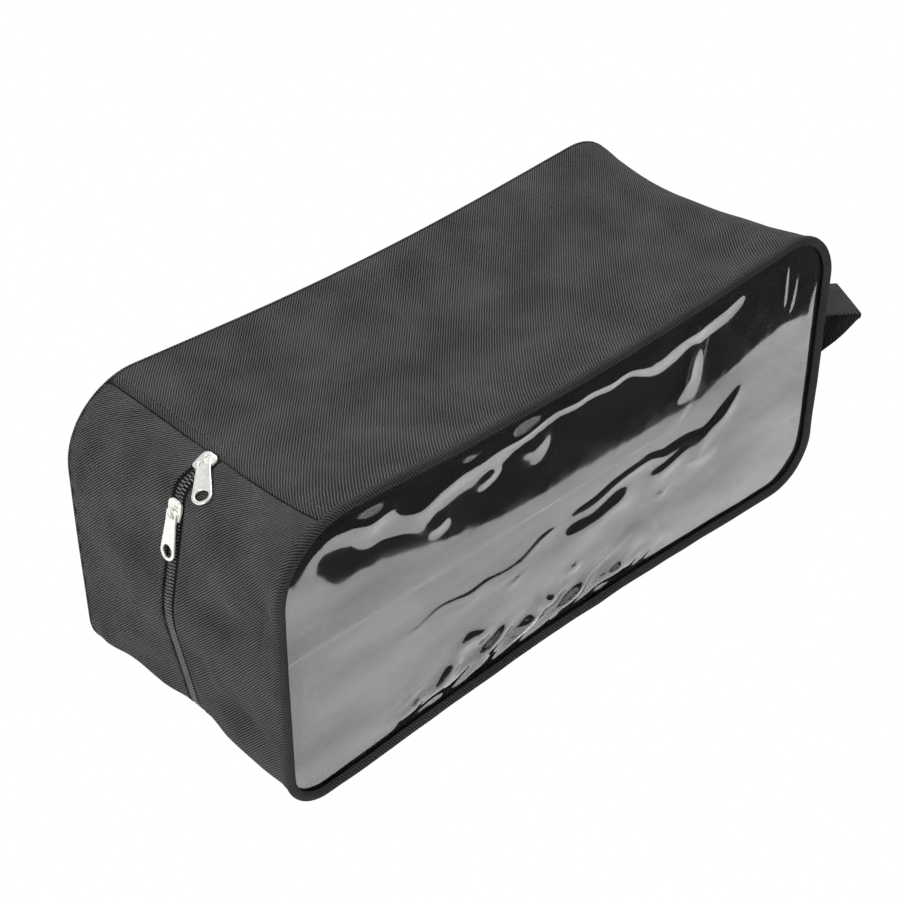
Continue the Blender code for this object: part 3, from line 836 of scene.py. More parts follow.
# The tape's tone is close to black: the tape's own black darkened further with painted shade, so the strips
# beside the coil read as the shadow under the cloth's edges.
TAPE_CLOTH = cloth_finish(
    "woven_tape_with_painted_shade", dark=(0.0015, 0.0015, 0.0016), light=(0.010, 0.010, 0.011),
    rib_pitch=0.0008, slant=0.0, yarn_pitch=0.0006, bump_depth=0.00012, roughness=0.75)
WEBBING = cloth_finish(
    "ribbed_webbing", dark=(0.004, 0.004, 0.005), light=(0.095, 0.095, 0.097),
    rib_pitch=0.0021, slant=1.0, yarn_pitch=0.0021, bump_depth=0.0006, roughness=0.70)
NICKEL = nickel_finish()
VINYL = vinyl_finish()
THREAD = thread_finish()
COIL = coil_finish()


# Sewn cloth

def gusset_height(patch, front, back, seed, slot=None):
    """Outer face of a gusset: slack in the middle, dips at its sewn edges, gathers at the front.

    It stays above the tapes that lie behind it.
    """
    def height(i, j):
        place = patch.places[i][j]
        along = patch.along[j][i]
        to_front = abs(patch.depths[j] - front)
        to_back = abs(patch.depths[j] - back)
        nearest = min(to_front, to_back)
        to_end = min(along - patch.along[j][0], patch.along[j][-1] - along)
        to_slot = abs(patch.depths[j] - slot) if slot else SLOT_HOLD
        free = smoothstep(0, EDGE_HOLD, nearest) * smoothstep(0, END_HOLD, to_end)
        free *= smoothstep(0, SLOT_HOLD, to_slot)
        off_floor = smoothstep(0, FLOOR_HOLD, place.z)
        rise = (slack(place, seed) + cloth_fold_height(place)) * free * off_floor
        rise += pucker(along, to_front, seed) * off_floor
        at_front = to_front <= to_back and front == FRONT_EDGE_Y
        rise += edge_sink(nearest) * (1.0 if at_front else BACK_SEAM_SHARE)
        rise += edge_sink(to_end)
        if nearest < SEAM_COVER_REACH or to_end < CROSS_COVER_REACH:
            rise = max(rise, -SEAM_SINK)
        if to_slot < SLOT_COVER_REACH:
            rise = max(rise, -SLOT_SINK)
        return rise
    return height


def make_gussets():
    plain_rows = round(run_length(run_points(MIDDLE_Y, "plain")) / CLOTH_STEP)
    across = spaced(FRONT_EDGE_Y, BACK_EDGE_Y, CLOTH_STEP)
    patch = Patch("plain", across, plain_rows, SEAM_PARTING)
    height = gusset_height(patch, FRONT_EDGE_Y, BACK_EDGE_Y, PLAIN_SEED)
    mesh = cloth_mesh("plain_gusset_cloth", patch, height, CLOTH, PLAIN_CLOTH)
    add_piece("plain_gusset_cloth", mesh, "bag", ["plain_gusset"])
    zip_rows = round(run_length(run_points(MIDDLE_Y, "zip")) / CLOTH_STEP)
    sides = (("front", FRONT_EDGE_Y, MIDDLE_Y - SLOT_HALF, FRONT_SEED),
             ("back", MIDDLE_Y + SLOT_HALF, BACK_EDGE_Y, BACK_SEED))
    for name, near, far, seed in sides:
        patch = Patch("zip", spaced(near, far, CLOTH_STEP), zip_rows, SEAM_PARTING)
        sewn, slot = (near, far) if name == "front" else (far, near)
        height = gusset_height(patch, sewn, sewn, seed, slot)
        mesh = cloth_mesh("zip_gusset_cloth_" + name, patch, height, CLOTH, ZIP_CLOTH)
        add_piece("zip_gusset_cloth_" + name, mesh, "bag", ["zip_gusset_" + name])


def add_tape(name, patch, sink, thickness, replaced):
    """Flat tape behind the cloth."""
    mesh = cloth_mesh(name, patch, lambda i, j: -UNDER_CLOTH - sink, thickness, TAPE_CLOTH)
    add_piece(name, mesh, "bag", [replaced])


def make_inner_tapes():
    tapes = []
    for name, near in (("front", FRONT_TAPE_Y), ("back", BACK_TAPE_Y)):
        across = spaced(near, near + TAPE_WIDTH, TAPE_WIDTH / RING_TAPE_STRIPS)
        tapes.append((name, Patch("ring", across, RING_ROWS), RING_TAPE_SINK))
    across = spaced(CROSS_TAPE_NEAR, CROSS_TAPE_FAR, CROSS_TAPE_STEP)
    for name, start in (("shoulder", -SHOULDER_TAPE_GAP - CROSS_TAPE_WIDTH), ("handle", HANDLE_TAPE_START)):
        patch = Patch("plain", across, CROSS_TAPE_ROWS, start, CROSS_TAPE_WIDTH)
        tapes.append((name, patch, CROSS_TAPE_SINK))
    for name, patch, sink in tapes:
        add_tape(name + "_seam_binding", patch, sink, TAPE_THICKNESS, name + "_seam_tape")


def make_zip_tapes():
    rows = round(run_length(run_points(MIDDLE_Y, "zip")) / CLOTH_STEP)
    for name, side in (("front", -1), ("back", 1)):
        near, far = sorted((MIDDLE_Y + side * ZIP_PARTING, MIDDLE_Y + side * ZIP_TAPE_WIDTH))
        patch = Patch("zip", spaced(near, far, ZIP_TAPE_STEP), rows)
        add_tape("zip_tape_weave_" + name, patch, 0.0, ZIP_TAPE_THICKNESS, "zip_tape_" + name)


# Repeats: zip coil and stitches

def repeat_tree():
    """One small shape set on every point of a mesh, turned by the point's own facing."""
    tree = bpy.data.node_groups.new("repeat_on_points", "GeometryNodeTree")
    face = tree.interface
    face.new_socket("Geometry", in_out="INPUT", socket_type="NodeSocketGeometry")
    face.new_socket("Shape", in_out="INPUT", socket_type="NodeSocketObject")
    face.new_socket("Size", in_out="INPUT", socket_type="NodeSocketVector")
    face.new_socket("Finish", in_out="INPUT", socket_type="NodeSocketMaterial")
    face.new_socket("Geometry", in_out="OUTPUT", socket_type="NodeSocketGeometry")
    given = node(tree, "NodeGroupInput")
    result = node(tree, "NodeGroupOutput")
    shape = node(tree, "GeometryNodeObjectInfo", {"Object": given.outputs["Shape"]})
    facing = node(tree, "GeometryNodeInputNamedAttribute", {"Name": "facing"}, data_type="FLOAT_VECTOR")
    turn = node(tree, "FunctionNodeEulerToRotation", {0: facing.outputs["Attribute"]})
    placed = node(tree, "GeometryNodeInstanceOnPoints", {
        "Points": given.outputs["Geometry"], "Instance": shape.outputs["Geometry"],
        "Rotation": turn.outputs[0], "Scale": given.outputs["Size"]})
    real = node(tree, "GeometryNodeRealizeInstances", {0: placed.outputs[0]})
    finish = node(tree, "GeometryNodeSetMaterial", {
        "Geometry": real.outputs[0], "Material": given.outputs["Finish"]})
    tree.links.new(finish.outputs[0], result.inputs[0])
    return tree


REPEAT_TREE = repeat_tree()


def bead_object(name):
    """Rounded bar of unit length, width and height: the shape of a stitch or of one turn of the coil."""
    bm = bmesh.new()
    bmesh.ops.create_uvsphere(bm, u_segments=BEAD_SEGMENTS, v_segments=BEAD_RINGS, radius=0.5)
    bmesh.ops.rotate(bm, cent=(0, 0, 0), matrix=Matrix.Rotation(math.pi / 2, 3, "Y"), verts=bm.verts)
    for vert in bm.verts:
        vert.co.x = 0.5 * math.copysign(abs(2 * vert.co.x) ** BEAD_BLUNT, vert.co.x)
    mesh = bpy.data.meshes.new(name)
    bm.to_mesh(mesh)
    bm.free()
    mesh.shade_smooth()
    return add_object(name, mesh)


def socket_id(name):
    for item in REPEAT_TREE.interface.items_tree:
        if item.in_out == "INPUT" and item.name == name:
            return item.identifier
    raise KeyError(name)


def repeat_mesh(name, spots, size, finish):
    """Plain mesh of one bead on each spot; a spot is a place with its along and outward directions."""
    mesh = bpy.data.meshes.new(name)
    mesh.from_pydata([place for place, along, out in spots], [], [])
    facing = mesh.attributes.new("facing", "FLOAT_VECTOR", "POINT")
    for index, (place, along, out) in enumerate(spots):
        side = out.cross(along).normalized()
        turned = Matrix((along, side, along.cross(side))).transposed()
        facing.data[index].vector = turned.to_euler()
    carrier = add_object(name + "_points", mesh)
    bead = bead_object(name + "_bead")
    step = carrier.modifiers.new("repeat", "NODES")
    step.node_group = REPEAT_TREE
    step[socket_id("Shape")] = bead
    step[socket_id("Size")] = size
    step[socket_id("Finish")] = finish
    result = plain_mesh(carrier)
    result.name = name
    bpy.data.objects.remove(bead, do_unlink=True)
    result.shade_smooth()
    return result


def spots_along(y, pitch, height, start, across=False):
    """Spots on the bag's form along the zip side at depth y."""
    points = run_points(y, "zip")
    count = int((run_length(points) - start) / pitch)
    distances = [start + pitch * (i + 0.5) for i in range(count)]
    places = walk(points, distances)
    ahead = walk(points, [d + pitch * AHEAD_SHARE for d in distances])
    spots = []
    for place, after in zip(places, ahead):
        along = after - place
        if along.length == 0:
            continue
        along = Vector((along.x, 0, along.y)).normalized()
        out = ACROSS.cross(along).normalized()
        spot = Vector((place.x, y, place.y)) + out * height + BAG_CORNER
        spots.append((spot, ACROSS if across else along, out))
    return spots


def make_coil():
    for name, side in (("front", -1), ("back", 1)):
        y = MIDDLE_Y + side * (TOOTH_LENGTH / 2 - TOOTH_OVERLAP)
        shift = 0.0 if side < 0 else TOOTH_PITCH / 2
        spots = spots_along(y, TOOTH_PITCH, -COIL_SINK, shift, across=True)
        mesh = repeat_mesh("coil_turns_" + name, spots, (TOOTH_LENGTH, TOOTH_WIDTH, TOOTH_HEIGHT), COIL)
        add_piece("coil_turns_" + name, mesh, "bag", ["zip_coil_" + name])


# Window and its binding

# Section of the folded welt: (distance in from the outline, depth), outer edge first
WELT_SECTION = [
    (0.0004, 0.0022), (-0.0003, 0.0014), (-0.0005, 0.0004), (-0.0003, -0.0006), (0.0004, -0.0013),
    (0.0014, -0.0016), (0.0025, -0.0014), (0.0034, -0.0008), (0.0039, 0.0000), (0.0038, 0.0009),
    (0.0026, 0.0012), (0.0014, 0.0012),
]


def make_binding():
    places, whole = ring_places(WELT_OUTLINE_Y, WELT_STEPS)
    bm = bmesh.new()
    weave = bm.loops.layers.uv.new("weave")
    rows = []
    for i, place in enumerate(places):
        inward = along_ring(places, i)[1]
        reach = whole * i / WELT_STEPS
        swell = 1 + WELT_SWELL * noise.noise(Vector((reach / WELT_SWELL_SIZE, WELT_SWELL_SEED, 0.0)))
        wander = WELT_WANDER * noise.noise(Vector((reach / WELT_WANDER_SIZE, WELT_WANDER_SEED, 0.0)))
        row = []
        for inset, y in WELT_SECTION:
            spot = place + inward * (inset + wander)
            depth = WELT_MIDDLE_Y + (y - WELT_MIDDLE_Y) * swell
            row.append(bm.verts.new(Vector((spot.x, depth, spot.y)) + BAG_CORNER))
        rows.append(row)

    def thread(row, side):
        return whole * row / WELT_STEPS, WELT_GIRTH * side / len(WELT_SECTION)

    wrap_rows(bm, weave, rows, WELT_STEPS, thread)
    mesh = finish_mesh(bm, "window_welt", [BINDING_CLOTH], WELT_SHARP)
    add_piece("window_welt", mesh, "bag", ["window_binding"])


# Folds pressed into the window: points (x, z), how far they stand out, how wide they are above and below
WINDOW_FOLDS = [
    # Long band under the top edge, and the patch to its left
    (((0.068, 0.112), (0.073, 0.123), (0.087, 0.129), (0.103, 0.130), (0.125, 0.133), (0.150, 0.138)),
     0.0026, 0.0150, 0.0074),
    (((0.124, 0.135), (0.150, 0.138), (0.180, 0.136), (0.210, 0.133), (0.245, 0.132), (0.282, 0.141)),
     0.0021, 0.0140, 0.0060),
    (((0.118, 0.130), (0.150, 0.1335), (0.190, 0.130), (0.225, 0.127)), 0.0006, 0.0016, 0.0022),
    (((0.012, 0.137), (0.040, 0.138), (0.070, 0.131)), 0.0025, 0.0140, 0.0078),
    # Small bright dents in the dark part
    (((0.080, 0.110), (0.086, 0.109), (0.094, 0.111)), 0.0010, 0.0080, 0.0032),
    (((0.106, 0.114), (0.114, 0.118), (0.124, 0.121)), 0.0008, 0.0070, 0.0026),
    (((0.126, 0.125), (0.138, 0.122), (0.154, 0.118)), 0.0015, 0.0110, 0.0062),
    (((0.090, 0.139), (0.101, 0.138)), 0.0009, 0.0080, 0.0038),
    (((0.244, 0.127), (0.241, 0.112), (0.239, 0.094)), 0.0016, 0.0056, 0.0050),
    (((0.306, 0.146), (0.309, 0.112)), 0.0005, 0.0020, 0.0020),
    (((0.317, 0.140), (0.313, 0.108)), 0.0004, 0.0018, 0.0018),
    # Long fine creases across the middle
    (((0.055, 0.059), (0.098, 0.062), (0.138, 0.061), (0.166, 0.069)), 0.0005, 0.0015, 0.0030),
    (((0.070, 0.056), (0.107, 0.058), (0.146, 0.057)), 0.0004, 0.0013, 0.0030),
    (((0.160, 0.068), (0.219, 0.073), (0.255, 0.069), (0.284, 0.083)), 0.0006, 0.0017, 0.0030),
    (((0.123, 0.049), (0.140, 0.052)), 0.0006, 0.0015, 0.0026),
    (((0.163, 0.035), (0.177, 0.039)), 0.0008, 0.0017, 0.0026),
    (((0.220, 0.047), (0.234, 0.047)), 0.0006, 0.0015, 0.0026),
    # Broad dark dents right of the middle
    (((0.214, 0.060), (0.232, 0.064), (0.250, 0.064), (0.268, 0.069)), 0.0017, 0.0052, 0.0070),
    (((0.236, 0.056), (0.252, 0.058), (0.270, 0.055)), 0.0010, 0.0030, 0.0050),
    (((0.256, 0.066), (0.270, 0.072), (0.284, 0.084)), 0.0009, 0.0027, 0.0050),
    (((0.156, 0.055), (0.178, 0.059), (0.196, 0.060), (0.214, 0.058)), 0.0019, 0.0056, 0.0080),
    (((0.194, 0.033), (0.208, 0.037), (0.222, 0.029), (0.243, 0.012)), 0.0011, 0.0024, 0.0040),
    # Short puckers along the bottom seam
    (((0.056, 0.013), (0.070, 0.016), (0.082, 0.019)), 0.0018, 0.0034, 0.0040),
    (((0.074, 0.016), (0.088, 0.020), (0.102, 0.025)), 0.0020, 0.0038, 0.0044),
    (((0.090, 0.028), (0.104, 0.033), (0.124, 0.030)), 0.0017, 0.0035, 0.0044),
    (((0.104, 0.017), (0.118, 0.022), (0.132, 0.030)), 0.0020, 0.0038, 0.0044),
    (((0.126, 0.018), (0.140, 0.022), (0.152, 0.024)), 0.0019, 0.0036, 0.0042),
    (((0.138, 0.028), (0.150, 0.031), (0.166, 0.026)), 0.0017, 0.0035, 0.0042),
    (((0.154, 0.018), (0.170, 0.021), (0.186, 0.020)), 0.0019, 0.0036, 0.0042),
    (((0.184, 0.015), (0.196, 0.018), (0.212, 0.017)), 0.0018, 0.0034, 0.0040),
]
FOLD_END = 0.020
FOLD_END_SHARE = 0.45
FOLD_SWAY = 0.0040
FOLD_SWAY_SIZE = 0.019
FOLD_SWAY_SEED = 31.0
FOLD_SWAY_ASIDE = 0.5
FOLD_UNEVEN = 0.35
FOLD_HEIGHT_SEED = 9000
FOLD_RUN_SEED = 90
EDGE_GATHER = 0.0022
EDGE_GATHER_LENGTH = 0.020
EDGE_GATHER_HEIGHT = 0.0064
EDGE_GATHER_SLANT = 0.35
EDGE_GATHER_FROM = 0.050
EDGE_GATHER_TO = 0.250
EDGE_GATHER_FADE_IN = 0.025
EDGE_GATHER_FADE_OUT = 0.060
EDGE_GATHER_REACH = 0.036
EDGE_GATHER_POWER = 1.5
EDGE_GATHER_SEED = 9.0
EDGE_GATHER_FINE = 0.45
EDGE_GATHER_FINER = 2.1
SHEET_HOLD_FROM = 0.003
SHEET_HOLD_TO = 0.012
SHEET_SWELL = 0.0006
SHEET_WAVE = 0.00035
SHEET_WAVE_SIZE = 0.060
SHEET_WAVE_SQUASH = 1.3
SHEET_WAVE_SEED = 2.0


def fold_height(x, z):
    """Sum of the pressed folds at a point of the window."""
    rise = 0.0
    sway = noise.noise(Vector((x / FOLD_SWAY_SIZE, z / FOLD_SWAY_SIZE, FOLD_SWAY_SEED))) * FOLD_SWAY
    here = Vector((x + sway * FOLD_SWAY_ASIDE, z + sway))
    for points, height, above, below in WINDOW_FOLDS:
        gap, reach, start, leg, run = nearest_on_path(points, here)
        width = above if leg.cross(here - start) > 0 else below
        if gap < FOLD_SPREAD * width:
            taper = min(FOLD_END, FOLD_END_SHARE * run)
            ends = smoothstep(0, taper, reach) * smoothstep(0, taper, run - reach)
            spot = Vector((reach / FOLD_SWAY_SIZE, height * FOLD_HEIGHT_SEED, run * FOLD_RUN_SEED))
            uneven = 1 + FOLD_UNEVEN * noise.noise(spot)
            rise += height * uneven * math.exp(-(gap / width) ** 2) * ends
    return rise


def window_rise(x, z, low, high):
    """How far the sheet stands out of its plane."""
    from_bottom = z - low
    to_edge = min(from_bottom, high - z, x, BAG_LENGTH - x)
    held = smoothstep(SHEET_HOLD_FROM, SHEET_HOLD_TO, to_edge)
    spread = math.sin(math.pi * min(max(from_bottom / (high - low), 0), 1))
    spot = Vector((x / SHEET_WAVE_SIZE, z / SHEET_WAVE_SIZE * SHEET_WAVE_SQUASH, SHEET_WAVE_SEED))
    wave = noise.noise(spot) * SHEET_WAVE
    leaning = z - EDGE_GATHER_SLANT * x
    lump = Vector((x / EDGE_GATHER_LENGTH, leaning / EDGE_GATHER_HEIGHT, EDGE_GATHER_SEED))
    lumps = noise.noise(lump) + EDGE_GATHER_FINE * noise.noise(lump * EDGE_GATHER_FINER)
    length = smoothstep(0, EDGE_GATHER_FADE_IN, x - EDGE_GATHER_FROM)
    length *= smoothstep(0, EDGE_GATHER_FADE_OUT, EDGE_GATHER_TO - x)
    near_bottom = smoothstep(0, EDGE_GATHER_REACH, EDGE_GATHER_REACH - from_bottom) ** EDGE_GATHER_POWER
    gather = EDGE_GATHER * lumps * length * near_bottom
    return (SHEET_SWELL * spread + wave + fold_height(x, z) + gather) * held


def window_spans():
    """Lowest and highest point of the window for each of its columns."""
    points = run_points(WINDOW_Y, "ring")[:-1]
    inset = [point + along_ring(points, i)[1] * WINDOW_INSET for i, point in enumerate(points)]
    left = min(p.x for p in inset) + WINDOW_END_GAP
    right = max(p.x for p in inset) - WINDOW_END_GAP
    spans = []
    for column in range(WINDOW_COLUMNS + 1):
        share = column / WINDOW_COLUMNS
        crowded = 0.5 - 0.5 * math.cos(math.pi * share)
        x = left + (right - left) * (WINDOW_EVEN_SHARE * share + (1 - WINDOW_EVEN_SHARE) * crowded)
        heights = []
        for a, b in zip(inset, inset[1:] + inset[:1]):
            if (a.x - x) * (b.x - x) <= 0 and a.x != b.x:
                heights.append(a.y + (b.y - a.y) * (x - a.x) / (b.x - a.x))
        spans.append((x, min(heights), max(heights)))
    return spans


def make_window():
    bm = bmesh.new()
    spans = window_spans()
    front = []
    back = []
    for x, low, high in spans:
        near = []
        far = []
        for row in range(WINDOW_ROWS + 1):
            z = low + (high - low) * row / WINDOW_ROWS
            y = WINDOW_Y - window_rise(x, z, low, high)
            near.append(bm.verts.new(Vector((x, y, z)) + BAG_CORNER))
            far.append(bm.verts.new(Vector((x, y + WINDOW_THICKNESS, z)) + BAG_CORNER))
        front.append(near)
        back.append(far)
    for i in range(WINDOW_COLUMNS):
        for j in range(WINDOW_ROWS):
            bm.faces.new((front[i][j], front[i + 1][j], front[i + 1][j + 1], front[i][j + 1]))
            bm.faces.new((back[i][j + 1], back[i + 1][j + 1], back[i + 1][j], back[i][j]))
        bm.faces.new((front[i + 1][0], front[i][0], back[i][0], back[i + 1][0]))
        bm.faces.new((front[i][-1], front[i + 1][-1], back[i + 1][-1], back[i][-1]))
    for j in range(WINDOW_ROWS):
        bm.faces.new((front[0][j], front[0][j + 1], back[0][j + 1], back[0][j]))
        bm.faces.new((front[-1][j + 1], front[-1][j], back[-1][j], back[-1][j + 1]))
    mesh = finish_mesh(bm, "clear_window_sheet", [VINYL], WINDOW_SHARP)
    piece = add_piece("clear_window_sheet", mesh, "bag", ["front_window"])


# Back panel

def back_depth(x, z, share):
    """Depth of the back panel's outer face; share is how far out the point lies, 1 at the seam."""
    edge = 1 - share
    loose = slack(Vector((x, BACK_SLACK_Y, z)), PANEL_SEED) * smoothstep(0, BACK_SLACK_SHARE, edge)
    pillow = BACK_PILLOW * smoothstep(0, BACK_PILLOW_SHARE, edge)
    dip = BACK_DIP * (1 - smoothstep(0, BACK_DIP_SHARE, edge))
    return BAG_DEPTH - BACK_SET + pillow + loose - dip


def make_back():
    """Back panel: the bag's outline, drawn up on rings towards the middle, softly pillowed."""
    places = ring_places(BACK_EDGE_Y, RING_ROWS)[0]
    bm = bmesh.new()
    weave = bm.loops.layers.uv.new("weave")

    def point(spot, share, offset):
        depth = back_depth(spot.x, spot.y, share) - offset
        return bm.verts.new(Vector((spot.x, depth, spot.y)) + BAG_CORNER)

    def skin(offset):
        rings = []
        for share in BACK_RINGS:
            spots = [BACK_MIDDLE + (place - BACK_MIDDLE) * share for place in places]
            rings.append([point(spot, share, offset) for spot in spots])
        return rings, point(BACK_MIDDLE, 0.0, offset)

    outer, outer_hub = skin(0.0)
    inner, inner_hub = skin(CLOTH)
    steps = [(i, (i + 1) % RING_ROWS) for i in range(RING_ROWS)]
    for rings, hub in ((outer, outer_hub), (inner, inner_hub)):
        for a, b in zip(rings, rings[1:]):
            for i, k in steps:
                bm.faces.new((a[i], a[k], b[k], b[i]))
        for i, k in steps:
            bm.faces.new((rings[-1][i], rings[-1][k], hub))
    for i, k in steps:
        bm.faces.new((outer[0][i], inner[0][i], inner[0][k], outer[0][k]))
    for face in bm.faces:
        for loop in face.loops:
            loop[weave].uv = (loop.vert.co.x, loop.vert.co.z)
    mesh = finish_mesh(bm, "back_panel_cloth", [BACK_CLOTH])
    add_piece("back_panel_cloth", mesh, "bag", ["back_panel"])


# Sliders

def flat_plate(name, outlines, thickness, edge):
    """Plate with softly rounded edges from closed outlines; the first is the rim, the rest are holes."""
    curve = bpy.data.curves.new(name, "CURVE")
    curve.dimensions = "2D"
    curve.fill_mode = "BOTH"
    curve.extrude = thickness / 2 - edge
    curve.bevel_depth = edge
    curve.bevel_resolution = PLATE_BEVEL_STEPS
    curve.offset = -edge
    for points in outlines:
        line = curve.splines.new("POLY")
        line.points.add(len(points) - 1)
        for spot, (x, y) in zip(line.points, points):
            spot.co = (x, y, 0, 1)
        line.use_cyclic_u = True
    return plain_mesh(add_object(name, curve))


def soft_corners(points, radius):
    """Closed outline with each corner rounded."""
    count = len(points)
    result = []
    for i in range(count):
        here = Vector(points[i])
        before = Vector(points[i - 1]) - here
        after = Vector(points[(i + 1) % count]) - here
        reach = min(radius, before.length / CORNER_ROOM, after.length / CORNER_ROOM)
        start = here + before.normalized() * reach
        end = here + after.normalized() * reach
        for step in range(CORNER_STEPS + 1):
            t = step / CORNER_STEPS
            spot = start.lerp(here, t).lerp(here.lerp(end, t), t)
            result.append((spot.x, spot.y))
    return result


def soft_bar(start, end, half, corner):
    """Outline of a bar that lies along the slider or puller."""
    return soft_corners([(start, -half), (end, -half), (end, half), (start, half)], corner)


def circle(centre_x, radius):
    turns = [2 * math.pi * i / HOLE_SIDES for i in range(HOLE_SIDES)]
    return [(centre_x + radius * math.cos(turn), radius * math.sin(turn)) for turn in turns]


def joined(name, parts):
    """One nickel mesh from several plates, each with its own placing."""
    bm = bmesh.new()
    for mesh, place in parts:
        mesh.transform(place)
        bm.from_mesh(mesh)
    bmesh.ops.remove_doubles(bm, verts=bm.verts, dist=WELD_GAP)
    return finish_mesh(bm, name, [NICKEL], METAL_SHARP)


def slider_mesh(name):
    nose = [(SLIDER_HALF_LENGTH * x, -SLIDER_HALF_WIDTH * y) for x, y in SLIDER_PLAN]
    plan = soft_corners(nose + [(x, -y) for x, y in reversed(nose)], PLAN_CORNER)
    plate = flat_plate("plate", [plan], PLATE_THICKNESS, PLATE_EDGE)
    floor = flat_plate("floor", [plan], FLOOR_THICKNESS, FLOOR_EDGE)
    top = PLATE_BOTTOM + PLATE_THICKNESS
    bar = BRIDGE_HOLE_HEIGHT + BRIDGE_BAR
    arch = soft_corners([(-BRIDGE_HALF - BRIDGE_FOOT, 0), (-BRIDGE_HALF, bar), (BRIDGE_HALF, bar),
                         (BRIDGE_HALF + BRIDGE_FOOT, 0)], BRIDGE_CORNER)
    hole = soft_corners([(-BRIDGE_HOLE_HALF, 0.0), (-BRIDGE_HOLE_HALF, BRIDGE_HOLE_HEIGHT),
                         (BRIDGE_HOLE_HALF, BRIDGE_HOLE_HEIGHT), (BRIDGE_HOLE_HALF, 0.0)], HOLE_CORNER)
    bridge = flat_plate("bridge", [arch, hole], BRIDGE_WIDTH, BRIDGE_EDGE)
    fin = flat_plate("fin", [soft_bar(FIN_START, FIN_END, FIN_HALF, FIN_CORNER)], FIN_HEIGHT, FIN_EDGE)
    upright = Matrix.Rotation(math.pi / 2, 4, "X")
    parts = [
        (plate, Matrix.Translation((0, 0, PLATE_BOTTOM + PLATE_THICKNESS / 2))),
        (floor, Matrix.Translation((0, 0, FLOOR_TOP - FLOOR_THICKNESS / 2))),
        (bridge, Matrix.Translation((0, 0, top - BRIDGE_SINK)) @ upright),
        (fin, Matrix.Translation((0, 0, FIN_MIDDLE))),
    ]
    return joined(name, parts)


def puller_mesh(name):
    end = PULLER_END_RADIUS
    neck = PULLER_NECK_HALF
    centre = -PULLER_LENGTH
    turns = [math.pi * i / PULLER_ARC_STEPS for i in range(PULLER_ARC_STEPS + 1)]
    rim = [(PULLER_TOP, -neck * PULLER_TOP_SHARE), (PULLER_TOP, neck * PULLER_TOP_SHARE)]
    rim += [(PULLER_SHOULDER, neck), (PULLER_WAIST, neck)]
    rim += [(centre - end * math.sin(turn), end * math.cos(turn)) for turn in turns]
    rim += [(PULLER_WAIST, -neck), (PULLER_SHOULDER, -neck)]
    eye = soft_bar(-EYE_LENGTH, -EYE_START, EYE_HALF, HOLE_CORNER)
    hole = circle(centre, PULLER_HOLE_RADIUS)
    plate = flat_plate("puller", [rim, eye, hole], PULLER_THICKNESS, PULLER_EDGE)
    return joined(name, [(plate, Matrix.Identity(4))])


def joint_named(name):
    for joint in frame["joints"]:
        if joint["name"] == name:
            return joint
    raise KeyError(name)


def make_sliders():
    for side in ("upper", "lower"):
        up = -Vector(joint_named(side + "_slider_travel")["axis"]).normalized()
        flip = joint_named(side + "_puller_flip")
        hinge = Vector(flip["pos_m"])
        out = up.cross(ACROSS)
        base = hinge - out * (PLATE_BOTTOM + PLATE_THICKNESS + BRIDGE_HOLE_HEIGHT / 2)
        mesh = slider_mesh(side + "_slider_casting")
        mesh.transform(placing(up, ACROSS, out, base))
        add_piece(side + "_slider_casting", mesh, side + "_slider", [side + "_slider_body"])
        pin = Vector(flip["axis"]).normalized()
        mesh = puller_mesh(side + "_puller_tag")
        mesh.transform(placing(pin.cross(out), pin, out, hinge))
        add_piece(side + "_puller_tag", mesh, side + "_pull", [side + "_puller"])


# Webbing loop

def smooth_path(points, steps):
    """Even curve through given points."""
    padded = [points[0]] + points + [points[-1]]
    curve = []
    for a, b, c, d in zip(padded, padded[1:], padded[2:], padded[3:]):
        for step in range(steps):
            t = step / steps
            lean = (c - a) * t + (2 * a - 5 * b + 4 * c - d) * t * t
            curve.append(b + (lean + (3 * b - a - 3 * c + d) * t ** 3) / 2)
    curve.append(points[-1])
    return curve


def loop_centreline():
    """Centre line of the webbing in (reach, height) from its root: out along the top, back below."""
    ply = (WEBBING_THICKNESS + FIT_GAP) / 2
    tip = LOOP_REACH - FOLD_RADIUS
    over = [(0, ply), (tip * ROOT_RISE_SHARE, ply + ROOT_RISE)]
    over += [(tip * UPPER_LIMB[0], -LOOP_DIP * UPPER_LIMB[1]), (tip, FOLD_RADIUS - LOOP_DIP)]
    under = [(tip, -LOOP_DIP - FOLD_RADIUS)]
    under += [(tip * reach, -LOOP_BELLY * drop) for reach, drop in LOWER_LIMB]
    under.append((0, -ply))
    over = smooth_path([Vector(p) for p in over], LIMB_STEPS)
    under = smooth_path([Vector(p) for p in under], LIMB_STEPS)
    fold = [Vector((tip + FOLD_RADIUS * math.cos(a), FOLD_RADIUS * math.sin(a) - LOOP_DIP))
            for a in (math.pi / 2 - math.pi * i / LOOP_FOLD_STEPS for i in range(1, LOOP_FOLD_STEPS))]
    inside = [Vector((-TAB_LENGTH * share, ply)) for share in TAB_SHARES]
    inside_back = [Vector((p.x, -ply)) for p in reversed(inside)]
    return inside + over + fold + under + inside_back


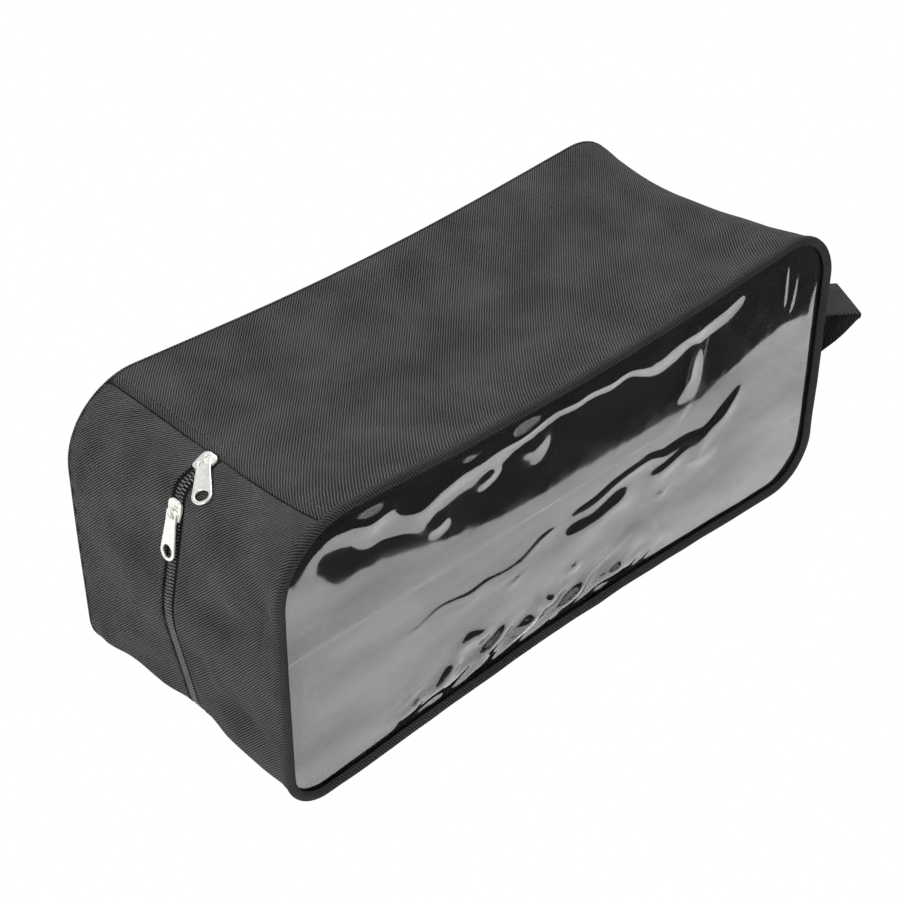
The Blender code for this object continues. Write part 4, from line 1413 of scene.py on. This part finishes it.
def make_handle():
    root = Vector(joint_named("handle_swing")["pos_m"])
    line = loop_centreline()
    half = WEBBING_THICKNESS / 2
    section = WEBBING_UPPER + [(x, -z) for x, z in reversed(WEBBING_UPPER)]
    bm = bmesh.new()
    weave = bm.loops.layers.uv.new("weave")
    rows = []
    reach_along = [0.0]
    for a, b in zip(line, line[1:]):
        reach_along.append(reach_along[-1] + (b - a).length)
    for index, centre in enumerate(line):
        before = line[max(index - 1, 0)]
        after = line[min(index + 1, len(line) - 1)]
        along = (after - before).normalized()
        normal = Vector((-along.y, along.x))
        reach = min(max(centre.x / LOOP_TWIST_REACH, 0), 1)
        yaw = LOOP_YAW * reach
        drift = -math.tan(LOOP_YAW) * max(centre.x - LOOP_TWIST_REACH / 2 * reach, 0)
        across = Vector((math.sin(yaw), math.cos(yaw), math.sin(yaw) / 2)).normalized()
        row = []
        for side, face in section:
            flat = centre + normal * half * face
            place = root + Vector((flat.x, drift, flat.y))
            row.append(bm.verts.new(place + across * (side * WEBBING_WIDTH / 2)))
        rows.append(row)

    def thread(row, side):
        return reach_along[row], section[side % len(section)][0] * WEBBING_WIDTH / 2

    wrap_rows(bm, weave, rows, len(rows) - 1, thread)
    bm.faces.new(rows[0])
    bm.faces.new(rows[-1][::-1])
    piece = add_object("webbing_loop", finish_mesh(bm, "webbing_loop", [WEBBING], WEBBING_SHARP))
    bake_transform(piece)
    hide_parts("handle_loop", "handle_tab")


# Sewing

def spots_across(distance, near, far):
    """Stitch spots on a seam that crosses the bag's depth, at a distance along the plain gusset."""
    spots = []
    for y in spaced(near, far, STITCH_PITCH):
        points = run_points(y, "plain")
        where = distance if distance >= 0 else run_length(points) + distance
        place, after = walk(points, [where, where + SEAM_AHEAD])
        along = Vector((after.x - place.x, 0, after.y - place.y)).normalized()
        out = ACROSS.cross(along)
        spots.append((Vector((place.x, y, place.y)) + out * STITCH_HEIGHT + BAG_CORNER, ACROSS, out))
    return spots


def back_spots():
    """Spots of the topstitch that runs round the back panel."""
    count = round(run_length(run_points(BACK_EDGE_Y, "ring")) / STITCH_PITCH)
    places = ring_places(BACK_EDGE_Y, count)[0]
    spots = []
    for i, place in enumerate(places):
        along, inward = along_ring(places, i)
        spot = place + inward * BACK_STITCH_INSET
        share = (spot - BACK_MIDDLE).length / (place - BACK_MIDDLE).length
        sewn = Vector((spot.x, back_depth(spot.x, spot.y, share), spot.y)) + BAG_CORNER
        spots.append((sewn, Vector((along.x, 0, along.y)), ACROSS))
    return spots


def make_stitches():
    spots = spots_across(SHOULDER_STITCH, STITCH_NEAR, STITCH_FAR)
    spots += spots_across(HANDLE_STITCH, STITCH_NEAR, MIDDLE_Y - HANDLE_STITCH_GAP)
    spots += spots_across(HANDLE_STITCH, MIDDLE_Y + HANDLE_STITCH_GAP, STITCH_FAR)
    for side in (-1, 1):
        y = MIDDLE_Y + side * (SLOT_HALF + ZIP_STITCH_INSET)
        spots += spots_along(y, STITCH_PITCH, STITCH_HEIGHT, ZIP_STITCH_START)
    spots += back_spots()
    mesh = repeat_mesh("seam_stitches", spots, STITCH, THREAD)
    add_piece("seam_stitches", mesh, "bag")


# Stage

def make_floor():
    made, tree, shader = new_material("white_floor")
    fill_inputs(tree, shader, {"Base Color": FLOOR_TONE, "Roughness": FLOOR_ROUGHNESS})
    path = node(tree, "ShaderNodeLightPath")
    seen = math_node(tree, "MAXIMUM", path.outputs["Is Camera Ray"], path.outputs["Is Glossy Ray"])
    seen = math_node(tree, "MAXIMUM", seen, path.outputs["Is Transmission Ray"])
    glow = node(tree, "ShaderNodeEmission", {"Color": WHITE, "Strength": 1.0})
    mix = node(tree, "ShaderNodeMixShader", {0: seen, 1: shader.outputs[0], 2: glow.outputs[0]})
    tree.links.new(mix.outputs[0], tree.nodes["Material Output"].inputs["Surface"])
    bm = bmesh.new()
    bmesh.ops.create_grid(bm, x_segments=1, y_segments=1, size=FLOOR_HALF)
    floor = add_object("floor", finish_mesh(bm, "floor", [made]))


# Points (x, z) on the window from which it mirrors the dark card
DARK_FROM = [(0.012, 0.131), (0.029, 0.113), (0.054, 0.110), (0.076, 0.104), (0.110, 0.098), (0.146, 0.092),
             (0.196, 0.090), (0.250, 0.092), (0.276, 0.101), (0.304, 0.109), (0.335, 0.101)]
DARK_LEVEL = 0.05
CARD_REACH = 3.0
CARD_LIFT = 0.0006


def mirrored_on_floor(x, z):
    """Where the camera's view of a window point lands on the floor after mirroring."""
    spot = BAG_CORNER + Vector((x, WINDOW_Y, z))
    ray = spot - camera_place()
    return spot + Vector((ray.x, -ray.y, ray.z)) * (spot.z / -ray.z)


def make_flag():
    """Dark card in front of the window, seen only in reflections."""
    made, tree, _ = new_material("dark_card")
    glow = node(tree, "ShaderNodeEmission", {"Color": WHITE, "Strength": DARK_LEVEL})
    tree.links.new(glow.outputs[0], tree.nodes["Material Output"].inputs["Surface"])
    near = [mirrored_on_floor(x, z) for x, z in DARK_FROM]
    edge = [(-CARD_REACH, near[0].y)] + [(p.x, p.y) for p in near] + [(CARD_REACH, near[-1].y)]
    bm = bmesh.new()
    inner = [bm.verts.new((x, y, CARD_LIFT)) for x, y in edge]
    outer = [bm.verts.new((x, -CARD_REACH, CARD_LIFT)) for x, y in edge]
    for i in range(len(edge) - 1):
        bm.faces.new((inner[i], outer[i], outer[i + 1], inner[i + 1]))
    card = add_object("dark_card", finish_mesh(bm, "dark_card", [made]))
    card.visible_camera = False
    card.visible_diffuse = False
    card.visible_shadow = False


def area_light(name, place, target, side, power):
    """Square soft light."""
    lamp = bpy.data.lights.new(name, "AREA")
    lamp.shape = "RECTANGLE"
    lamp.size = side
    lamp.size_y = side
    lamp.energy = power
    holder = add_object(name, lamp)
    holder.location = place
    aim = Vector(target) - Vector(place)
    holder.rotation_euler = aim.to_track_quat("-Z", "Y").to_euler()


def make_lights():
    area_light("overhead_softbox", place=(0.45, 0.55, 1.15), target=(-0.05, 0.0, 0.08), side=0.6, power=13.0)
    area_light("left_key", place=(-1.05, -0.55, 0.95), target=(-0.15, 0.0, 0.08), side=0.45, power=15.0)
    world = bpy.data.worlds.new("studio")
    world.use_nodes = True
    tree = world.node_tree
    path = node(tree, "ShaderNodeLightPath")
    seen = math_node(tree, "MAXIMUM", path.outputs["Is Camera Ray"], path.outputs["Is Transmission Ray"])
    strength = ranged(tree, seen, (0.0, 1.0), (AMBIENT, 1.0))
    fill_inputs(tree, tree.nodes["Background"], {"Color": WHITE, "Strength": strength})
    bpy.context.scene.world = world


def camera_back():
    """Direction from the bag to the camera."""
    return Vector((math.sin(CAMERA_AZIMUTH) * math.cos(CAMERA_ELEVATION),
                   -math.cos(CAMERA_AZIMUTH) * math.cos(CAMERA_ELEVATION), math.sin(CAMERA_ELEVATION)))


def camera_place():
    return Vector(CAMERA_TARGET) + BAG_CORNER + camera_back() * CAMERA_DISTANCE


def make_camera():
    lens = bpy.data.cameras.new("photo_camera")
    lens.lens = CAMERA_LENS
    lens.sensor_width = SENSOR_WIDTH
    camera = add_object("photo_camera", lens)
    back = camera_back()
    right = Vector((math.cos(CAMERA_AZIMUTH), math.sin(CAMERA_AZIMUTH), 0))
    camera.matrix_world = placing(right, back.cross(right), back, camera_place())
    bpy.context.scene.camera = camera


make_camera()
make_gussets()
make_inner_tapes()
make_zip_tapes()
make_coil()
make_binding()
make_window()
make_back()
make_sliders()
make_handle()
make_stitches()
make_floor()
make_flag()
make_lights()
bpy.context.scene.view_settings.view_transform = "Standard"
